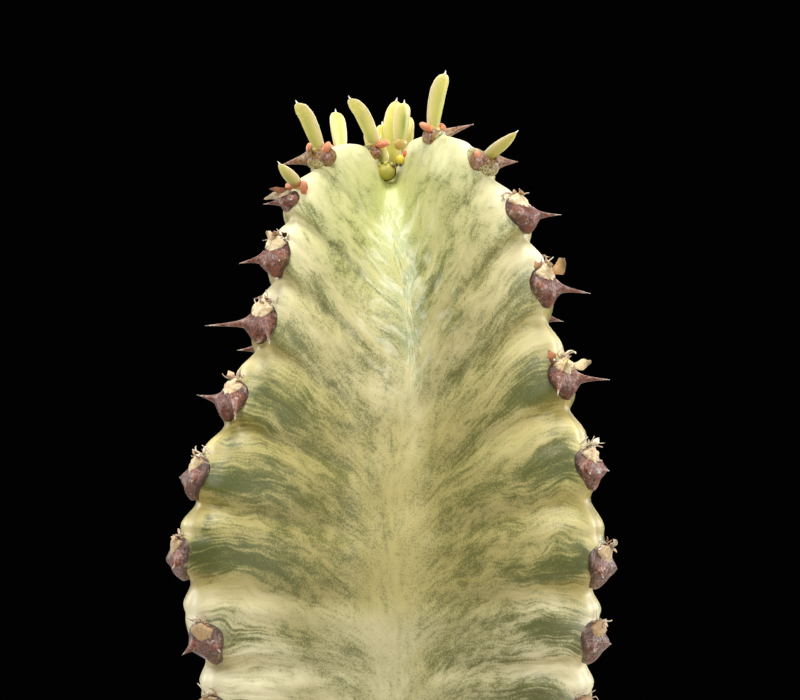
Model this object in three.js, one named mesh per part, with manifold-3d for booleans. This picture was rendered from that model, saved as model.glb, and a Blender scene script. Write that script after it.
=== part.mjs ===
// A giant milk bush in a clay pot: one variegated succulent column with four wings, whose edges
// carry spine shields with a pair of spines each and, at the crown, small thick leaves.
// Millimetres, +Z up. The origin is the centre of the pot's foot, on the surface it stands on.
// The broad face that is seen from the front looks along -Y, with a wing on either side of it.
import * as THREE from 'three';
import { mergeVertices } from 'three/addons/utils/BufferGeometryUtils.js';
import Module from 'manifold-3d';

const wasm = await Module();
wasm.setup();

// Driving dimensions
const POT_HEIGHT = 130;
const POT_RIM_RADIUS = 84;
const POT_FOOT_RADIUS = 60;
const POT_WALL = 7;
const POT_FLOOR = 9;
const RIM_BAND_HEIGHT = 30;
const RIM_BAND_STEP = 4;
const DRAIN_RADIUS = 10;
const ROUND_SEGMENTS = 44;
const SOIL_LEVEL = 118;
const STEM_ABOVE_SOIL = 230;
const GAP = 0.3;
const MESH_TOLERANCE = 0.05;

const WING_TOP = SOIL_LEVEL + STEM_ABOVE_SOIL;
const WING_SHARPNESS = 2.5;
const AREOLES_PER_WING = 18;
const LOWEST_AREOLE = 248;
const NOTCH_DEPTH = 2.3;
const DIMPLE_DEPTH = 0.6;
const FULL_NOTCH_REACH = 20;
const CROWN_LEAN = { share: 0.125, depth: 24, span: 34 };
const CROWN_DROP = { distance: 14, span: 22, full: 7 };

const SHIELD_HEIGHT = 8.4;
const SHIELD_WIDTH = 7.4;
const SHIELD_RISE = 1.2;
const SHIELD_WRAP = 0.1;
const SPINY_AREOLES = 13;
const SPINE_LENGTH = 7.2;
const SPINE_ROOT_RADIUS = 1.5;
const SPINE_SPREAD = 45;
const SPINE_WEAR = { from: 76, to: 92, share: 0.5 };
const LEAF_WIDTH = 4.6;
const LEAF_THICKNESS = 1.8;
const BUD_RADIUS = 2;
const PEBBLES = 26;

// The wing's edge and the furrow between two wings, from the growing tip down into the soil, as
// [distance from the axis, depth below the top of the wings]. Point by point the two lists are
// one level of growth, which lies lower in the furrow than on the edge.
const WING_EDGE = [
  [0, 7.5], [3.8, 2.2], [9.4, 0.3], [16, 0.7], [22.2, 4.3], [27.3, 9.6], [33, 17], [37.2, 27], [40.6, 37],
  [45.2, 47.5], [50.2, 59], [53, 69], [53.5, 77], [52, 86], [49.8, 98], [47.8, 111], [50, 130],
  [53.6, 154], [54.2, 176], [52, 200], [47, 222], [41, 240], [32, 256], [18, 270], [0, 277],
];
const FURROW = [
  [0, 7.5], [2.5, 7.9], [5.5, 10], [8.5, 14], [11.5, 19.5], [14, 26], [16.5, 34], [18.8, 43.5], [20.8, 52],
  [22.5, 60], [24, 68.5], [25.2, 76], [25.8, 82], [26, 89.5], [25.8, 100], [25.5, 112], [25.5, 130.5],
  [26, 154], [26, 176], [25.5, 200], [25, 222], [23, 240], [20, 256], [13, 270], [0, 277],
];

// Each wing: the way it points, in degrees; its reach as a share of the outline; the side the
// crown leans to; how much its crown sits below the outline; where its edge stands out or back
// from the outline, as [amount, depth, span]; the first areoles' distances from the tip along the
// edge; the shields' turns about the upright, in degrees; and the leaves that the youngest areoles
// still hold, as [lean from upright in degrees, length, root's place up the edge and outward].
const WINGS = [
  {
    azimuth: 45, reach: 0.93, side: 1, drop: 1.4, trims: [],
    areoles: [7.5, 20, 34, 47.5, 61, 75], turns: [0, 6, -5, 4, -8, 9], leaves: [[2, 7, 0, 1.2]],
  },
  {
    azimuth: 135, reach: 0.93, side: -1, drop: 1.6, trims: [],
    areoles: [6, 19.5, 31, 43, 56, 67.5, 81, 95], turns: [0, 5, -6, 8, -4, 7, -9, 5],
    leaves: [[6, 6.2, 0, 1.5], [8, 7.4, 0, 1.6]],
  },
  {
    azimuth: 225, reach: 1, side: -1, drop: 0.7, trims: [[1.5, 8, 7], [-0.8, 48, 25], [-1.6, 102, 12]],
    areoles: [8.5, 24, 36.5, 49, 62, 77.5, 92.5, 107, 122.5], turns: [0, 0, -8, 0, 8, 0, -20, -24, 24],
    leaves: [[31, 9.9, 0, 1.6], [29, 9.3, 0.6, 1.5], [46, 6, 3, -0.4]],
  },
  {
    azimuth: 315, reach: 1, side: 1, drop: -1.2, trims: [[-2.4, 54, 27], [-1.1, 30, 16], [0.9, 100, 14]],
    areoles: [5.5, 14, 27.5, 40.5, 55, 73, 90.5, 108.5, 122.5], turns: [0, 0, 6, 4, 0, -6, 8, 12, 10],
    leaves: [[2, 7, 0, 2], [8, 10.1, 0, 1.5], [60, 8.6, -0.3, 0.3]],
  },
];

// Repeatable numbers from 0 to 1
let seed = 4711;
function random() {
  seed = (seed * 48271) % 2147483647;
  return seed / 2147483647;
}

// Smooth hump of height 1 at centre, fading over width
function hump(value, centre, width) {
  return Math.exp(-(((value - centre) / width) ** 2));
}

// A closed geometry as a solid that can be joined and cut
function solidOf(geometry) {
  const bare = geometry.clone();
  bare.deleteAttribute('normal');
  bare.deleteAttribute('uv');
  const merged = mergeVertices(bare, 1e-4);
  const vertProperties = new Float32Array(merged.attributes.position.array);
  const triVerts = new Uint32Array(merged.index.array);
  return new wasm.Manifold(new wasm.Mesh({ numProp: 3, vertProperties, triVerts }));
}

function geometryOf(solid) {
  const mesh = solid.getMesh();
  const geometry = new THREE.BufferGeometry();
  geometry.setAttribute('position', new THREE.BufferAttribute(new Float32Array(mesh.vertProperties), 3));
  geometry.setIndex([...mesh.triVerts]);
  geometry.computeVertexNormals();
  return geometry;
}

// A closed skin over rings of points, with one end point before the first ring and one after the
// last. Each ring turns counterclockwise when looked at from the last end towards the first.
function skin(firstEnd, rings, lastEnd) {
  const points = [firstEnd, ...rings.flat(), lastEnd];
  const around = rings[0].length;
  const at = (ring, step) => 1 + ring * around + (step % around);
  const index = [];
  for (let step = 0; step < around; step += 1) {
    index.push(0, at(0, step), at(0, step + 1));
    for (let ring = 0; ring + 1 < rings.length; ring += 1) {
      index.push(at(ring, step), at(ring + 1, step), at(ring + 1, step + 1));
      index.push(at(ring, step), at(ring + 1, step + 1), at(ring, step + 1));
    }
    index.push(at(rings.length - 1, step), points.length - 1, at(rings.length - 1, step + 1));
  }
  const geometry = new THREE.BufferGeometry().setFromPoints(points);
  geometry.setIndex(index);
  return geometry;
}

// The stem's form
const edgeCurve = new THREE.SplineCurve(WING_EDGE.map(([reach, depth]) => new THREE.Vector2(reach, depth)));
const furrowCurve = new THREE.SplineCurve(FURROW.map(([reach, depth]) => new THREE.Vector2(reach, depth)));
edgeCurve.arcLengthDivisions = 2000;
const EDGE_LENGTH = edgeCurve.getLength();

// All the areoles of a wing, as distances along its edge: the first as listed, the rest evenly
function areolesOf(wing) {
  const listed = wing.areoles;
  const last = listed[listed.length - 1];
  const rest = AREOLES_PER_WING - listed.length;
  const evenly = Array.from({ length: rest }, (_, i) => last + ((LOWEST_AREOLE - last) * (i + 1)) / rest);
  return [...listed, ...evenly];
}
const AREOLES = WINGS.map(areolesOf);

// How far the edge is drawn in at a phase between one areole (0) and the next below it (1)
function notch(phase) {
  const span = phase < 0.34 ? 0.13 : 0.2;
  return NOTCH_DEPTH * hump(phase, 0.34, span) + DIMPLE_DEPTH * hump(phase, 0.7, 0.07);
}

// A wing's edge at a distance from the tip along it, as reach and depth, before notches
function edgeAt(wing, distance) {
  const along = edgeCurve.getUtoTmapping(0, distance);
  const point = edgeCurve.getPoint(along);
  const lean = 1 + wing.side * CROWN_LEAN.share * hump(point.y, CROWN_LEAN.depth, CROWN_LEAN.span);
  const full = THREE.MathUtils.smoothstep(distance, 0, CROWN_DROP.full);
  const drop = wing.drop * hump(distance, CROWN_DROP.distance, CROWN_DROP.span) * full;
  let reach = point.x * wing.reach * lean;
  for (const [amount, depth, span] of wing.trims) {
    reach += amount * hump(point.y, depth, span) * full;
  }
  return { along, reach, depth: point.y + drop };
}

// A row of the column crosses each wing at that wing's own distance from the tip. The rows sit
// at an areole, in the notch under it and on the swelling between it and the next areole.
const PHASES = [0, 0.34, 0.6];
const BURIED = [0.25, 0.5, 0.72, 0.88, 0.96];
function rowsOf() {
  const rows = [{ distances: AREOLES.map((list) => list[0] * 0.5), phase: 0.8 }];
  for (let level = 0; level + 1 < AREOLES_PER_WING; level += 1) {
    for (const phase of PHASES) {
      const distances = AREOLES.map((list) => THREE.MathUtils.lerp(list[level], list[level + 1], phase));
      rows.push({ distances, phase });
    }
  }
  rows.push({ distances: AREOLES.map(() => LOWEST_AREOLE), phase: 0 });
  for (const part of BURIED) {
    const distance = THREE.MathUtils.lerp(LOWEST_AREOLE, EDGE_LENGTH, part);
    rows.push({ distances: AREOLES.map(() => distance), phase: 0.8 });
  }
  return rows;
}

// Places across the face from one wing's edge (0) to the next one's (1), closer near the edges
const ACROSS = [0, 0.05, 0.12, 0.24, 0.5, 0.76, 0.88, 0.95];

// One point of the column, between a wing and the next wing counterclockwise
function columnPoint(row, wingIndex, across) {
  const pair = [wingIndex, (wingIndex + 1) % WINGS.length];
  const [here, next] = pair.map((i) => edgeAt(WINGS[i], row.distances[i]));
  const furrows = [here, next].map(({ along }) => furrowCurve.getPoint(along));
  const furrow = { reach: (furrows[0].x + furrows[1].x) / 2, depth: (furrows[0].y + furrows[1].y) / 2 };
  const fold = Math.cos(Math.PI * across) ** 2;
  const share = fold ** WING_SHARPNESS;
  const wing = across < 0.5 ? here : next;
  const inset = notch(row.phase) * Math.min(1, wing.reach / FULL_NOTCH_REACH);
  const reach = furrow.reach + (wing.reach - inset - furrow.reach) * share;
  const depth = furrow.depth + (wing.depth - furrow.depth) * share;
  const azimuth = THREE.MathUtils.degToRad(WINGS[wingIndex].azimuth + 90 * across);
  return new THREE.Vector3(reach * Math.cos(azimuth), reach * Math.sin(azimuth), WING_TOP - depth);
}

function columnRings(rows) {
  return rows.map((row) => WINGS.flatMap((_, i) => ACROSS.map((across) => columnPoint(row, i, across))));
}

function onAxis(depth) {
  return new THREE.Vector3(0, 0, WING_TOP - depth);
}

// The areole's own frame: its point on the edge, the way out from the stem, the way up along the
// edge, and the way to the side
function areoleFrame(wing, level) {
  const distance = areolesOf(wing)[level];
  const azimuth = THREE.MathUtils.degToRad(wing.azimuth);
  const radial = new THREE.Vector3(Math.cos(azimuth), Math.sin(azimuth), 0);
  const place = (d) => {
    const { reach, depth } = edgeAt(wing, d);
    return radial.clone().multiplyScalar(reach).setZ(WING_TOP - depth);
  };
  const point = place(distance);
  const up = place(distance - 1).sub(place(distance + 1)).normalize();
  const turn = THREE.MathUtils.degToRad(wing.turns[level] ?? 9 * Math.sin(2.4 * level + wing.azimuth));
  const side = new THREE.Vector3(0, 0, 1).cross(radial).applyAxisAngle(up, turn);
  const out = up.clone().cross(side).negate();
  return { point, out, up, side, radial };
}

// A point given by its shares of the areole's three directions
function inFrame(frame, out, up, side) {
  return frame.point
    .clone()
    .addScaledVector(frame.out, out)
    .addScaledVector(frame.up, up)
    .addScaledVector(frame.side, side);
}

// Young areoles are smaller than grown ones
function grown(distance) {
  return THREE.MathUtils.clamp(0.4 + distance / 45, 0.5, 1);
}

// The corky shield that wraps the edge: widest above its middle, drawn to a point at the bottom
const SHIELD_OUTLINE = [[0, 0.45], [0.46, 0.3], [0.42, -0.12], [0, -0.55]];
function shield(frame, size) {
  const half = SHIELD_OUTLINE.map(([s, v]) => [s * SHIELD_WIDTH * size, v * SHIELD_HEIGHT * size]);
  const other = half.slice(1, -1).reverse().map(([s, v]) => [-s, v]);
  const outline = [...half, ...other];
  const ring = (share, rise) =>
    outline.map(([s, v]) => inFrame(frame, rise * size - SHIELD_WRAP * (s * share) ** 2, v * share, s * share));
  const rings = [ring(0.7, SHIELD_RISE), ring(1, -0.7)].map((points) => points.reverse());
  return skin(inFrame(frame, SHIELD_RISE * 1.3 * size, 0, 0), rings, inFrame(frame, -3.5 * size, 0, 0));
}

// A straight tapered body with few sides: rings at [distance, half width, half thickness] along
// its direction, from a flat root to a point
function tapered(root, direction, across, sides, rings, length) {
  const through = direction.clone().cross(across).normalize();
  const place = (distance) => root.clone().addScaledVector(direction, distance);
  const points = rings.map(([distance, width, thickness]) =>
    Array.from({ length: sides }, (_, i) => {
      const angle = (2 * Math.PI * i) / sides;
      return place(distance)
        .addScaledVector(across, width * Math.cos(angle))
        .addScaledVector(through, thickness * Math.sin(angle));
    }).reverse(),
  );
  return skin(place(rings[0][0]), points, place(length));
}

// Two needles with flared roots, spread a right angle apart from the shield's middle. The young
// ones are stout, and the old ones are worn short.
function spine(frame, size, hand, distance) {
  const spread = THREE.MathUtils.degToRad(SPINE_SPREAD);
  const droop = new THREE.Vector3(0, 0, -0.14 - 0.16 * random());
  const direction = frame.out
    .clone()
    .lerp(frame.radial, 0.4)
    .multiplyScalar(Math.cos(spread))
    .addScaledVector(frame.side, hand * Math.sin(spread))
    .add(droop)
    .normalize();
  const root = inFrame(frame, -0.4, -0.3 * size, hand * 1.7 * size);
  const width = SPINE_ROOT_RADIUS * Math.sqrt(size);
  const wear = 1 - SPINE_WEAR.share * THREE.MathUtils.smoothstep(distance, SPINE_WEAR.from, SPINE_WEAR.to);
  const length = SPINE_LENGTH * (0.85 + 0.25 * random()) * size ** 0.7 * wear;
  const across = direction.clone().cross(frame.up).normalize();
  const rings = [[-1, width, width], [0.38 * length, 0.5 * size, 0.5 * size]];
  return tapered(root, direction, across, 3, rings, length);
}

// A thick lance-shaped leaf
function leaf(root, direction, across, length, width, thickness) {
  const rings = [
    [-1.2, 0.36 * width, 0.4 * thickness],
    [0.22 * length, 0.48 * width, 0.5 * thickness],
    [0.62 * length, 0.5 * width, 0.5 * thickness],
    [0.88 * length, 0.32 * width, 0.36 * thickness],
  ];
  return tapered(root, direction, across, 6, rings, length);
}

function leafOn(frame, [lean, length, up, out]) {
  const angle = THREE.MathUtils.degToRad(lean);
  const direction = frame.radial.clone().multiplyScalar(Math.sin(angle)).setZ(Math.cos(angle));
  const root = inFrame(frame, out, up, 0);
  return leaf(root, direction, frame.side, length, LEAF_WIDTH, LEAF_THICKNESS);
}

// The growing tip: a small leaf before a larger one, and a round flower bud in the front notch
function growingTip() {
  const up = new THREE.Vector3(0, 0, 1);
  const across = new THREE.Vector3(1, 0, 0);
  const bud = new THREE.IcosahedronGeometry(BUD_RADIUS, 0);
  bud.translate(-1.1, -4.2, WING_TOP - 6.6);
  const front = leaf(new THREE.Vector3(-1.7, -2.6, WING_TOP - 5.6), up, across, 6.4, 2.6, 1.3);
  const back = leaf(new THREE.Vector3(0.3, 0.6, WING_TOP - 6.4), up, across, 14.6, 3.6, 1.5);
  return [bud, front, back];
}

function stemGeometry() {
  const last = WING_EDGE[WING_EDGE.length - 1][1];
  let solid = solidOf(skin(onAxis(WING_EDGE[0][1]), columnRings(rowsOf()), onAxis(last)));
  const growths = growingTip();
  WINGS.forEach((wing, w) => {
    AREOLES[w].forEach((distance, level) => {
      const frame = areoleFrame(wing, level);
      const size = grown(distance);
      growths.push(shield(frame, size));
      if (level < SPINY_AREOLES) {
        growths.push(spine(frame, size, 1, distance), spine(frame, size, -1, distance));
      }
      if (wing.leaves[level]) {
        growths.push(leafOn(frame, wing.leaves[level]));
      }
    });
  });
  for (const growth of growths) {
    solid = solid.add(solidOf(growth));
  }
  return geometryOf(solid.simplify(MESH_TOLERANCE));
}

// A profile of [radius, height] points turned round the upright axis
function turned(profile) {
  const points = profile.map(([radius, height]) => new THREE.Vector2(radius, height));
  return new THREE.LatheGeometry(points, ROUND_SEGMENTS).rotateX(Math.PI / 2);
}

// The pot: tapered wall, thicker rim band with eased corners, flat foot with a drain hole
function wallRadius(height) {
  return THREE.MathUtils.lerp(POT_FOOT_RADIUS, POT_RIM_RADIUS - RIM_BAND_STEP, height / POT_HEIGHT);
}

function potGeometry() {
  const band = POT_HEIGHT - RIM_BAND_HEIGHT;
  const under = wallRadius(band);
  const profile = [
    [DRAIN_RADIUS, 0],
    [POT_FOOT_RADIUS - 2, 0],
    [POT_FOOT_RADIUS, 2],
    [under, band],
    [POT_RIM_RADIUS - 2.4, band + 1],
    [POT_RIM_RADIUS - 1.2, band + 3],
    [POT_RIM_RADIUS, POT_HEIGHT - 3],
    [POT_RIM_RADIUS - 1, POT_HEIGHT - 0.8],
    [POT_RIM_RADIUS - 3, POT_HEIGHT],
    [POT_RIM_RADIUS - RIM_BAND_STEP - POT_WALL + 3, POT_HEIGHT],
    [POT_RIM_RADIUS - RIM_BAND_STEP - POT_WALL, POT_HEIGHT - 2],
    [wallRadius(POT_FLOOR) - POT_WALL, POT_FLOOR + 3],
    [wallRadius(POT_FLOOR) - POT_WALL - 3, POT_FLOOR],
    [DRAIN_RADIUS, POT_FLOOR],
    [DRAIN_RADIUS, 0],
  ];
  return turned(profile);
}

// The soil: fills the pot with a small gap, with an uneven top and pebbles, and a plain hole
// that the buried end of the stem stands in
function soilRelief(x, y) {
  const swell = Math.sin(x * 0.11 + 1.3) * Math.cos(y * 0.13 - 0.4);
  const lumps = Math.sin(x * 0.37 + y * 0.21) * Math.sin(y * 0.41 - x * 0.17 + 2);
  return 0.9 * swell + 0.7 * lumps;
}

function innerRadius(height) {
  const share = (height - POT_FLOOR - 3) / (POT_HEIGHT - 2 - POT_FLOOR - 3);
  const low = wallRadius(POT_FLOOR) - POT_WALL;
  return THREE.MathUtils.lerp(low, POT_RIM_RADIUS - RIM_BAND_STEP - POT_WALL, share);
}

function soilBlock() {
  const top = SOIL_LEVEL;
  const bottom = POT_FLOOR + GAP;
  const profile = [
    [0, bottom],
    [innerRadius(POT_FLOOR + 3) - 3 - GAP, bottom],
    [innerRadius(POT_FLOOR + 3) - GAP, POT_FLOOR + 3 + GAP],
    [innerRadius(top - 2) - GAP - 0.1, top - 2],
  ];
  for (const share of [0.93, 0.82, 0.7, 0.58, 0.44, 0.25]) {
    profile.push([innerRadius(top) * share, top]);
  }
  profile.push([0, top]);
  const block = turned(profile);
  const position = block.attributes.position;
  for (let i = 0; i < position.count; i += 1) {
    if (position.getZ(i) > top - 1) {
      position.setZ(i, top + soilRelief(position.getX(i), position.getY(i)));
    }
  }
  return solidOf(block);
}

function pebble() {
  const angle = 2 * Math.PI * random();
  const radius = THREE.MathUtils.lerp(34, 66, Math.sqrt(random()));
  const size = 2.2 + 2.2 * random();
  const stone = new THREE.IcosahedronGeometry(size, 0);
  stone.scale(1, 0.7 + 0.3 * random(), 0.65);
  stone.rotateZ(2 * Math.PI * random());
  const [x, y] = [radius * Math.cos(angle), radius * Math.sin(angle)];
  stone.translate(x, y, SOIL_LEVEL + soilRelief(x, y) + 0.15 * size);
  return solidOf(stone);
}

// The buried end of the stem, grown by the gap on every side, and open upward past the soil
function stemSocket() {
  const rows = rowsOf().filter(({ distances }) => distances[0] > LOWEST_AREOLE - 12);
  const last = WING_EDGE[WING_EDGE.length - 1][1];
  const rings = columnRings(rows);
  const socket = mergeVertices(skin(onAxis(WING_TOP - rings[0][0].z), rings, onAxis(last)), 1e-4);
  socket.computeVertexNormals();
  const { position, normal } = socket.attributes;
  for (let i = 0; i < position.count; i += 1) {
    const step = new THREE.Vector3().fromBufferAttribute(normal, i).multiplyScalar(1.4 * GAP);
    position.setXYZ(i, position.getX(i) + step.x, position.getY(i) + step.y, position.getZ(i) + step.z);
  }
  return solidOf(socket);
}

function soilGeometry() {
  let solid = soilBlock();
  for (let i = 0; i < PEBBLES; i += 1) {
    solid = solid.add(pebble());
  }
  return geometryOf(solid.subtract(stemSocket()));
}

function piece(name, geometry, color, roughness) {
  const material = new THREE.MeshStandardMaterial({ color, roughness, metalness: 0 });
  const mesh = new THREE.Mesh(geometry, material);
  mesh.name = name;
  return mesh;
}

const plant = new THREE.Group();
plant.add(piece('pot', potGeometry(), 0xb0623c, 0.85));
plant.add(piece('soil', soilGeometry(), 0x4a3a2c, 0.95));
plant.add(piece('stem', stemGeometry(), 0xb9b984, 0.5));

export default plant;
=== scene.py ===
"""A variegated giant milk bush in a clay pot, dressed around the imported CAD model.

The CAD model's own curves and sizes are repeated here in millimetres, so that every finer piece
keeps the form of the node it stands for. Objects are made in metres. +Z is up, and the origin is
the centre of the pot's foot.
"""

import math

import bmesh
import bpy
import numpy as np
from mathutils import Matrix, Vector, noise


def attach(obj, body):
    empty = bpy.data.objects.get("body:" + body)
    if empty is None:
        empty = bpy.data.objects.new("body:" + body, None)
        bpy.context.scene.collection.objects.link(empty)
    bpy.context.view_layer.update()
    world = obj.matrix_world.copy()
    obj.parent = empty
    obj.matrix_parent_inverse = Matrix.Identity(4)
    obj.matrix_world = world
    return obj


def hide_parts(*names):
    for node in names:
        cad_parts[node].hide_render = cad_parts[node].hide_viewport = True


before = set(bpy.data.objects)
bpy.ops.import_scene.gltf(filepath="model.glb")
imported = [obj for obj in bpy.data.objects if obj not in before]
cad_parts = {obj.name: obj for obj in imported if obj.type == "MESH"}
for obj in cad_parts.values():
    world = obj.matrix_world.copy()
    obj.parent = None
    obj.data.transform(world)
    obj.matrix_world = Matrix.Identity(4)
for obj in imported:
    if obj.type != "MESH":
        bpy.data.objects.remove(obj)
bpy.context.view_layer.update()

MM = 0.001

# The CAD model's dimensions, in millimetres
POT_HEIGHT = 130
POT_RIM_RADIUS = 84
POT_FOOT_RADIUS = 60
POT_WALL = 7
POT_FLOOR = 9
RIM_BAND_HEIGHT = 30
RIM_BAND_STEP = 4
DRAIN_RADIUS = 10
SOIL_LEVEL = 118
STEM_ABOVE_SOIL = 230
GAP = 0.3
WING_TOP = SOIL_LEVEL + STEM_ABOVE_SOIL
WING_SHARPNESS = 2.5
AREOLES_PER_WING = 18
LOWEST_AREOLE = 248
NOTCH_DEPTH = 2.3
DIMPLE_DEPTH = 0.6
FULL_NOTCH_REACH = 20
CROWN_LEAN = {"share": 0.125, "depth": 24, "span": 34}
CROWN_DROP = {"distance": 14, "span": 22, "full": 7}
SPINY_AREOLES = 13
SPINE_LENGTH = 7.2
SPINE_SPREAD = 45
SPINE_WEAR = {"from": 76, "to": 92, "share": 0.5}
PEBBLES = 26

# The wing's edge and the furrow between two wings, as [distance from the axis, depth]
WING_EDGE = [
    [0, 7.5], [3.8, 2.2], [9.4, 0.3], [16, 0.7], [22.2, 4.3], [27.3, 9.6], [33, 17], [37.2, 27],
    [40.6, 37], [45.2, 47.5], [50.2, 59], [53, 69], [53.5, 77], [52, 86], [49.8, 98], [47.8, 111],
    [50, 130], [53.6, 154], [54.2, 176], [52, 200], [47, 222], [41, 240], [32, 256], [18, 270], [0, 277],
]
FURROW = [
    [0, 7.5], [2.5, 7.9], [5.5, 10], [8.5, 14], [11.5, 19.5], [14, 26], [16.5, 34], [18.8, 43.5],
    [20.8, 52], [22.5, 60], [24, 68.5], [25.2, 76], [25.8, 82], [26, 89.5], [25.8, 100], [25.5, 112],
    [25.5, 130.5], [26, 154], [26, 176], [25.5, 200], [25, 222], [23, 240], [20, 256], [13, 270], [0, 277],
]

# Each wing as in the CAD model, but with wing 3's first leaf a little further out: its azimuth in
# degrees, its reach, the side the crown leans to, how much its crown drops, where its edge stands
# out or back as [amount, depth, span], the first areoles' distances from the tip, the shields'
# turns and the leaves as [lean, length, root's place up the edge and outward]. The front wings also
# list, areole by areole, the spine that is seen in profile as [length, rise] and how much the spine
# that points forward droops.
WINGS = [
    {
        "azimuth": 45, "reach": 0.93, "side": 1, "drop": 1.4, "trims": [],
        "areoles": [7.5, 20, 34, 47.5, 61, 75], "turns": [0, 6, -5, 4, -8, 9], "leaves": [[2, 7, 0, 1.2]],
    },
    {
        "azimuth": 135, "reach": 0.93, "side": -1, "drop": 1.6, "trims": [],
        "areoles": [6, 19.5, 31, 43, 56, 67.5, 81, 95], "turns": [0, 5, -6, 8, -4, 7, -9, 5],
        "leaves": [[6, 6.2, 0, 1.5], [8, 7.4, 0, 1.6]],
    },
    {
        "azimuth": 225, "reach": 1, "side": -1, "drop": 0.7,
        "trims": [[1.5, 8, 7], [-0.8, 48, 25], [-1.6, 102, 12]],
        "areoles": [8.5, 24, 36.5, 49, 62, 77.5, 92.5, 107, 122.5],
        "turns": [0, 0, -8, 0, 8, 0, -20, -24, 24],
        "leaves": [[31, 9.9, 0, 1.6], [29, 9.3, 0.6, 1.5], [46, 6, 3, -0.4]],
        "profile": [[2.6, 0.1], [5.6, -0.3], [3.6, -0.2], [4.8, -0.18], [8.3, -0.13], [4.4, 0.12],
                    [1.6, 0], [1.2, -0.3], [3.2, -0.7]],
        "forward": [0.1, 0.2, 0.05, 0.1, 0.62, 0.7, 0.3, 0.4, 0.2],
        "small": {2: 0.66},
    },
    {
        "azimuth": 315, "reach": 1, "side": 1, "drop": -1.2,
        "trims": [[-2.4, 54, 27], [-1.1, 30, 16], [0.9, 100, 14]],
        "areoles": [5.5, 14, 27.5, 40.5, 55, 73, 90.5, 108.5, 122.5],
        "turns": [0, 0, 6, 4, 0, -6, 8, 12, 10],
        "leaves": [[7, 7, -1.5, 2], [8, 10.1, 0, 1.5], [60, 8.6, -0.3, 0.3]],
        "profile": [[2.4, 0.3], [7.4, 0.16], [4.4, -0.1], [5.2, -0.06], [6.4, -0.18], [6.2, -0.08],
                    [1.8, -0.3], [1.4, -0.2], [1.6, -0.2]],
        "forward": [0.1, 0.1, 0.2, 0.1, 0.12, 0.5, 0.3, 0.3, 0.3],
    },
]


class Dice:
    """Repeatable numbers."""

    def __init__(self, seed):
        self.state = seed

    def __call__(self, low=0.0, high=1.0):
        self.state = self.state * 48271 % 2147483647
        return low + (high - low) * self.state / 2147483647


def hump(value, centre, width):
    """Smooth hump of height 1 at centre, fading over width."""
    return np.exp(-(((value - centre) / width) ** 2))


def smooth(value, low, high):
    """0 below low, 1 above high, and a smooth step between."""
    share = np.clip((value - low) / (high - low), 0, 1)
    return share * share * (3 - 2 * share)


def unit(vectors):
    """Vectors of length 1 that point the same ways."""
    vectors = np.asarray(vectors, float)
    return vectors / np.maximum(np.linalg.norm(vectors, axis=-1, keepdims=True), 1e-12)


def turned_about(vector, axis, angle):
    cos, sin = math.cos(angle), math.sin(angle)
    return vector * cos + np.cross(axis, vector) * sin + axis * np.dot(axis, vector) * (1 - cos)


def distances(path):
    """Distances along a path from its first point."""
    return np.concatenate([[0], np.cumsum(np.linalg.norm(np.diff(path, axis=0), axis=1))])


def between(place, known, points):
    """Points at places along a path, whose own points have known places."""
    return np.stack([np.interp(place, known, values) for values in np.transpose(points)], axis=-1)


def full_turn(steps):
    return np.linspace(0, 2 * math.pi, steps, endpoint=False)


def round_axis(azimuth, radius, height):
    """Points at azimuths round the axis."""
    places = np.broadcast_arrays(radius * np.cos(azimuth), radius * np.sin(azimuth), height)
    return np.stack(places, axis=-1)


def noise_at(x, y, z):
    """Soft noise between -1 and 1, at points."""
    points = np.stack(np.broadcast_arrays(x, y, z), axis=-1)
    return np.array([noise.noise(Vector(point)) for point in points])


# The stem's form

CURVE_STEPS = 2001
CURVE_PLACES = np.linspace(0, 1, CURVE_STEPS)
NOTCH_PHASE = 0.34
DIMPLE_PHASE = 0.7


def smooth_curve(points):
    """Points along the smooth curve through the given ones."""
    points = np.array(points, float)
    last = len(points) - 1
    place = np.linspace(0, last, CURVE_STEPS)
    start = np.minimum(place.astype(int), last - 1)
    w = (place - start)[:, None]
    before, here = points[np.maximum(start - 1, 0)], points[start]
    after, beyond = points[start + 1], points[np.minimum(start + 2, last)]
    leave, arrive = (after - before) / 2, (beyond - here) / 2
    cubic = 2 * here - 2 * after + leave + arrive
    square = -3 * here + 3 * after - 2 * leave - arrive
    return cubic * w**3 + square * w**2 + leave * w + here


EDGE_CURVE = smooth_curve(WING_EDGE)
FURROW_CURVE = smooth_curve(FURROW)
EDGE_DISTANCES = distances(EDGE_CURVE)


def areoles_of(wing):
    """The areoles' distances from the tip: the listed ones, then evenly spaced ones."""
    listed = wing["areoles"]
    evenly = np.linspace(listed[-1], LOWEST_AREOLE, AREOLES_PER_WING - len(listed) + 1)
    return np.concatenate([listed, evenly[1:]])


AREOLES = [areoles_of(wing) for wing in WINGS]

# A level is the number of an areole, counted down the stem: -1 is the tip and 19 the buried end
LAST_LEVEL = AREOLES_PER_WING - 1
BURIED_END = LAST_LEVEL + 2
LEVELS = np.array([-1, *range(AREOLES_PER_WING), BURIED_END])
LEVEL_DISTANCES = [np.array([0, *areoles, EDGE_DISTANCES[-1]]) for areoles in AREOLES]


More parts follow.
